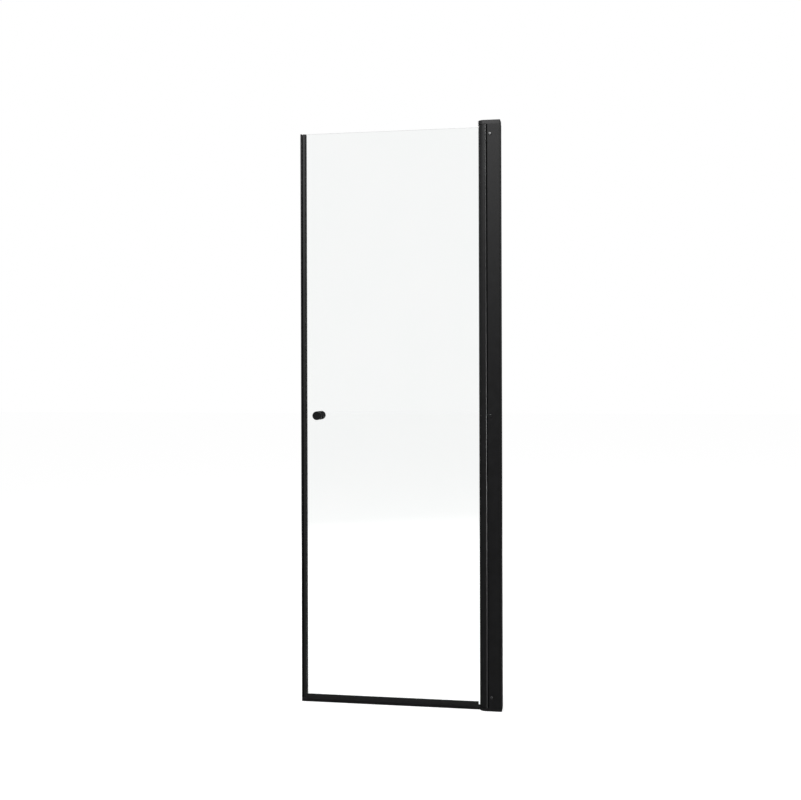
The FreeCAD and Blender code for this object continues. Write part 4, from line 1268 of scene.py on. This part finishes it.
@dataclass
class Leaf:
    """Glass panel, its seals and the knobs."""

    arris: float = 0.5
    hole: float = 6.0
    knob_radius: float = 15.0
    knob_neck: float = 11.0
    knob_neck_length: float = 2.5
    knob_rounding: float = 1.4
    knob_length: float = 34.0
    knob_start: float = 4.0
    knob_bore: float = 3.05
    knob_bore_depth: float = 19.0
    knob_back_rounding: float = 0.6
    stud: float = 3.0
    stud_tip: float = 22.0
    edge_rounding: float = 0.25
    bottom_rounding: float = 0.2

    def knob_place(self) -> Numbers:
        """X and Z of the knobs."""
        x, z = span("knob_grommet", 0), span("knob_grommet", 2)
        return sum(x) / 2, sum(z) / 2

    def glass(self) -> None:
        """Sheet of glass with ground edges and the hole for the knobs."""
        left, right = span("glass_panel", 0)
        front, back = span("glass_panel", 1)
        low, high = span("glass_panel", 2)
        x, z = self.knob_place()
        shape = Shape()
        edges = shape.outline([(left, low), (right, low), (right, high), (left, high)], -back)
        made = bmesh.ops.contextual_create(shape.mesh, geom=edges)
        shape.pull(made["faces"], back - front)
        shape.soften(self.arris, 1, lambda edge: True)
        rings = []
        for level, step in ((-back, self.arris), (-front, -self.arris)):
            border = shape.opened(level)
            ring = shape.circle(self.hole + self.arris, x, z, level)
            shape.fill(border + ring)
            rings.append((ring, step))
        shrink = self.hole / (self.hole + self.arris)
        bore = [edge for ring, step in rings for edge in shape.walls(ring, step, shrink, x, z)]
        bmesh.ops.bridge_loops(shape.mesh, edges=bore)
        shape.moved(Facing.BACK)
        shape.piece("glass_sheet", Body.DOOR, GLASS, ["glass_panel"])

    def knob(self, name: str, node: str, side: int) -> None:
        """A turned knob.

        Args:
            name: name of the piece.
            node: CAD node it stands for.
            side: -1 in the room, 1 in the shower.
        """
        x, z = self.knob_place()
        start = self.knob_start
        neck = start + self.knob_neck_length
        face = start + self.knob_length
        deep = start + self.knob_bore_depth
        radius = self.knob_radius
        edge = self.knob_rounding
        middle = [(0.0, deep), (self.knob_bore, deep), (self.knob_bore, start)]
        if side > 0:
            middle = [(0.0, -self.stud_tip), (self.stud, -self.stud_tip), (self.stud, start)]
        shape = Shape().turned(middle + [
            (self.knob_neck, start), (self.knob_neck, neck), (radius, neck, self.knob_back_rounding),
            (radius, face - edge), Turn(radius - edge, face - edge, 90), (0.0, face),
        ])
        if side > 0:
            shape.flipped()
        shape.moved(Facing.BACK, x=x, z=z)
        shape.piece(name, Body.DOOR, KNOB_BLACK, [node])

    def build(self) -> None:
        """Build the leaf."""
        self.glass()
        self.knob("knob_outside", "outer_knob", -1)
        self.knob("knob_inside", "inner_knob", 1)
        dress(SOFT_WHITE, ["knob_grommet"])
        softened("edge_seal", self.edge_rounding, Body.DOOR, RUBBER)
        softened("bottom_seal", self.bottom_rounding, Body.DOOR, RUBBER_ACROSS)
        dress(MAGNET, ["door_magnet"])


@dataclass
class Strike:
    """Strike on the wall opposite the hinge, with its magnet."""

    rounding: float = 0.35
    edge: float = 0.25
    screw_x: float = -340.5
    screw_y: float = 22.6
    screw_levels: Numbers = (150.0, 1000.0, 1850.0)
    screw: Screw = Screw(head=3.1, height=1.8, shank=1.7, length=5.0, rounding=0.9, depth=1.1)

    def screws(self) -> None:
        """Three screws on the shower side, heads away from the room."""
        shape = self.screw.shape().flipped()
        shape.moved(Facing.BACK, x=self.screw_x, y=self.screw_y, z=self.screw_levels[0])
        shape.up_to(self.screw_levels)
        shape.piece("strike_socket_screws", Body.FRAME, STEEL, ["strike_screws"])

    def build(self) -> None:
        """Build the strike."""
        self.screws()
        for node in ("strike_wall_channel", "strike_jamb_profile"):
            softened(node, self.edge, Body.FRAME, BLACK, segments=2)
        for node in ("strike_top_cap", "strike_foot_cap"):
            softened(node, self.rounding, Body.FRAME, CAP_PLASTIC)
        dress(CARRIER_PLASTIC, ["strike_magnet_carrier"])
        dress(MAGNET, ["strike_magnet"])


@dataclass
class Threshold:
    """Low sill between strike and post."""

    rounding: float = 0.35

    def build(self) -> None:
        """Build the threshold."""
        softened("threshold", self.rounding, Body.FRAME, BLACK_ACROSS)
        for node in ("threshold_strike_end", "threshold_hinge_end"):
            softened(node, self.rounding, Body.FRAME, CAP_PLASTIC)


@dataclass(frozen=True)
class Lamp:
    """A soft rectangular lamp: place and aim in metres, two sides, watts, beam in degrees."""

    name: str
    place: Numbers
    aim: Numbers
    size: Numbers
    watts: float
    spread: float = 180.0

    def hang(self, receivers: bpy.types.Collection) -> None:
        """Put the lamp in the scene, out of sight.

        Args:
            receivers: what it lights, or leaves out.
        """
        data = bpy.data.lights.new(self.name, "AREA")
        data.shape = "RECTANGLE"
        data.size, data.size_y = self.size
        data.energy = self.watts
        data.spread = math.radians(self.spread)
        lamp = bpy.data.objects.new(self.name, data)
        lamp.visible_camera = False
        lamp.visible_transmission = False
        towards = Vector(self.aim) - Vector(self.place)
        turn = towards.to_track_quat("-Z", "Y").to_matrix().to_4x4()
        lamp.matrix_world = Matrix.Translation(self.place) @ turn
        bpy.context.scene.collection.objects.link(lamp)
        lamp.light_linking.receiver_collection = receivers


@dataclass
class Studio:
    """Pale floor, soft lamps and the camera of the photograph."""

    camera_place: Numbers = (0.6518, -3.7698, 1.1336)
    camera_turn: float = 9.778
    camera_roll: float = -0.174
    lens: float = 49.89
    sensor: float = 36.0
    shift_y: float = -0.0296
    floor_size: float = 60.0
    floor_gap: float = 0.0005
    ambient: float = 0.08
    lamps: tuple[Lamp, ...] = (
        Lamp("key", (-0.3, -2.6, 3.25), (0.2, 0.0, 1.8), (2.6, 1.4), 60.0, 100.0),
        Lamp("side", (2.5, -2.3, 0.55), (0.3, 0.0, 0.4), (0.3, 1.1), 45.0),
        Lamp("fill", (-2.8, -1.6, 2.2), (0.0, 0.0, 1.4), (1.6, 1.6), 30.0),
        Lamp("rear", (-2.0, 3.0, 2.7), (0.1, 0.0, 1.2), (2.2, 1.8), 110.0),
    )

    def camera(self) -> None:
        """Camera at the photograph's viewing angle."""
        data = bpy.data.cameras.new("view")
        data.lens = self.lens
        data.sensor_width = self.sensor
        data.shift_y = self.shift_y
        view = bpy.data.objects.new("view", data)
        turn = Matrix.Rotation(math.radians(self.camera_turn), 4, "Z")
        level = Matrix.Rotation(math.pi / 2, 4, "X")
        roll = Matrix.Rotation(math.radians(self.camera_roll), 4, "Z")
        view.matrix_world = Matrix.Translation(self.camera_place) @ turn @ level @ roll
        bpy.context.scene.collection.objects.link(view)
        bpy.context.scene.camera = view

    def floor(self) -> None:
        """Large pale floor just under the door."""
        mesh = bmesh.new()
        bmesh.ops.create_grid(mesh, x_segments=4, y_segments=4, size=self.floor_size / 2)
        bmesh.ops.translate(mesh, vec=(0, 0, -self.floor_gap), verts=mesh.verts)
        data = bpy.data.meshes.new("floor")
        mesh.to_mesh(data)
        mesh.free()
        data.materials.append(FLOOR.material())
        ground = bpy.data.objects.new("floor", data)
        bpy.context.scene.collection.objects.link(ground)

    @staticmethod
    def receivers() -> bpy.types.Collection:
        """List what the lamps light: all but the pane, which mirrors the white room alone.

        Returns:
            The list, with the pane as left out.
        """
        listed = bpy.data.collections.new("lamp_receivers")
        for thing in bpy.context.scene.objects:
            if GLASS.name in thing.material_slots:
                listed.objects.link(thing)
        for entry in listed.collection_objects:
            entry.light_linking.link_state = "EXCLUDE"
        return listed

    def world(self) -> None:
        """White surroundings to the camera, softer light on the object."""
        world = bpy.data.worlds.new("studio")
        world.use_nodes = True
        bpy.context.scene.world = world
        graph = Graph(world.node_tree)
        strength = graph.seen(MIRRORED) * (1.0 - self.ambient) + self.ambient
        back = graph.node("Background", Color=(1.0, 1.0, 1.0, 1.0), Strength=strength)
        graph.node("OutputWorld", Surface=back.outputs["Background"])

    def build(self) -> None:
        """Set up the studio."""
        bpy.context.scene.view_settings.view_transform = "Standard"
        self.camera()
        self.floor()
        self.world()
        receivers = self.receivers()
        for lamp in self.lamps:
            lamp.hang(receivers)


def main() -> None:
    """Build every sub-assembly in order."""
    logging.basicConfig(level=logging.INFO, format="%(name)s: %(message)s")
    for part in (HingePost(), HingeStile(), Leaf(), Strike(), Threshold(), Studio()):
        LOG.info("building %s", type(part).__name__)
        part.build()


if __name__ == "__main__":
    main()
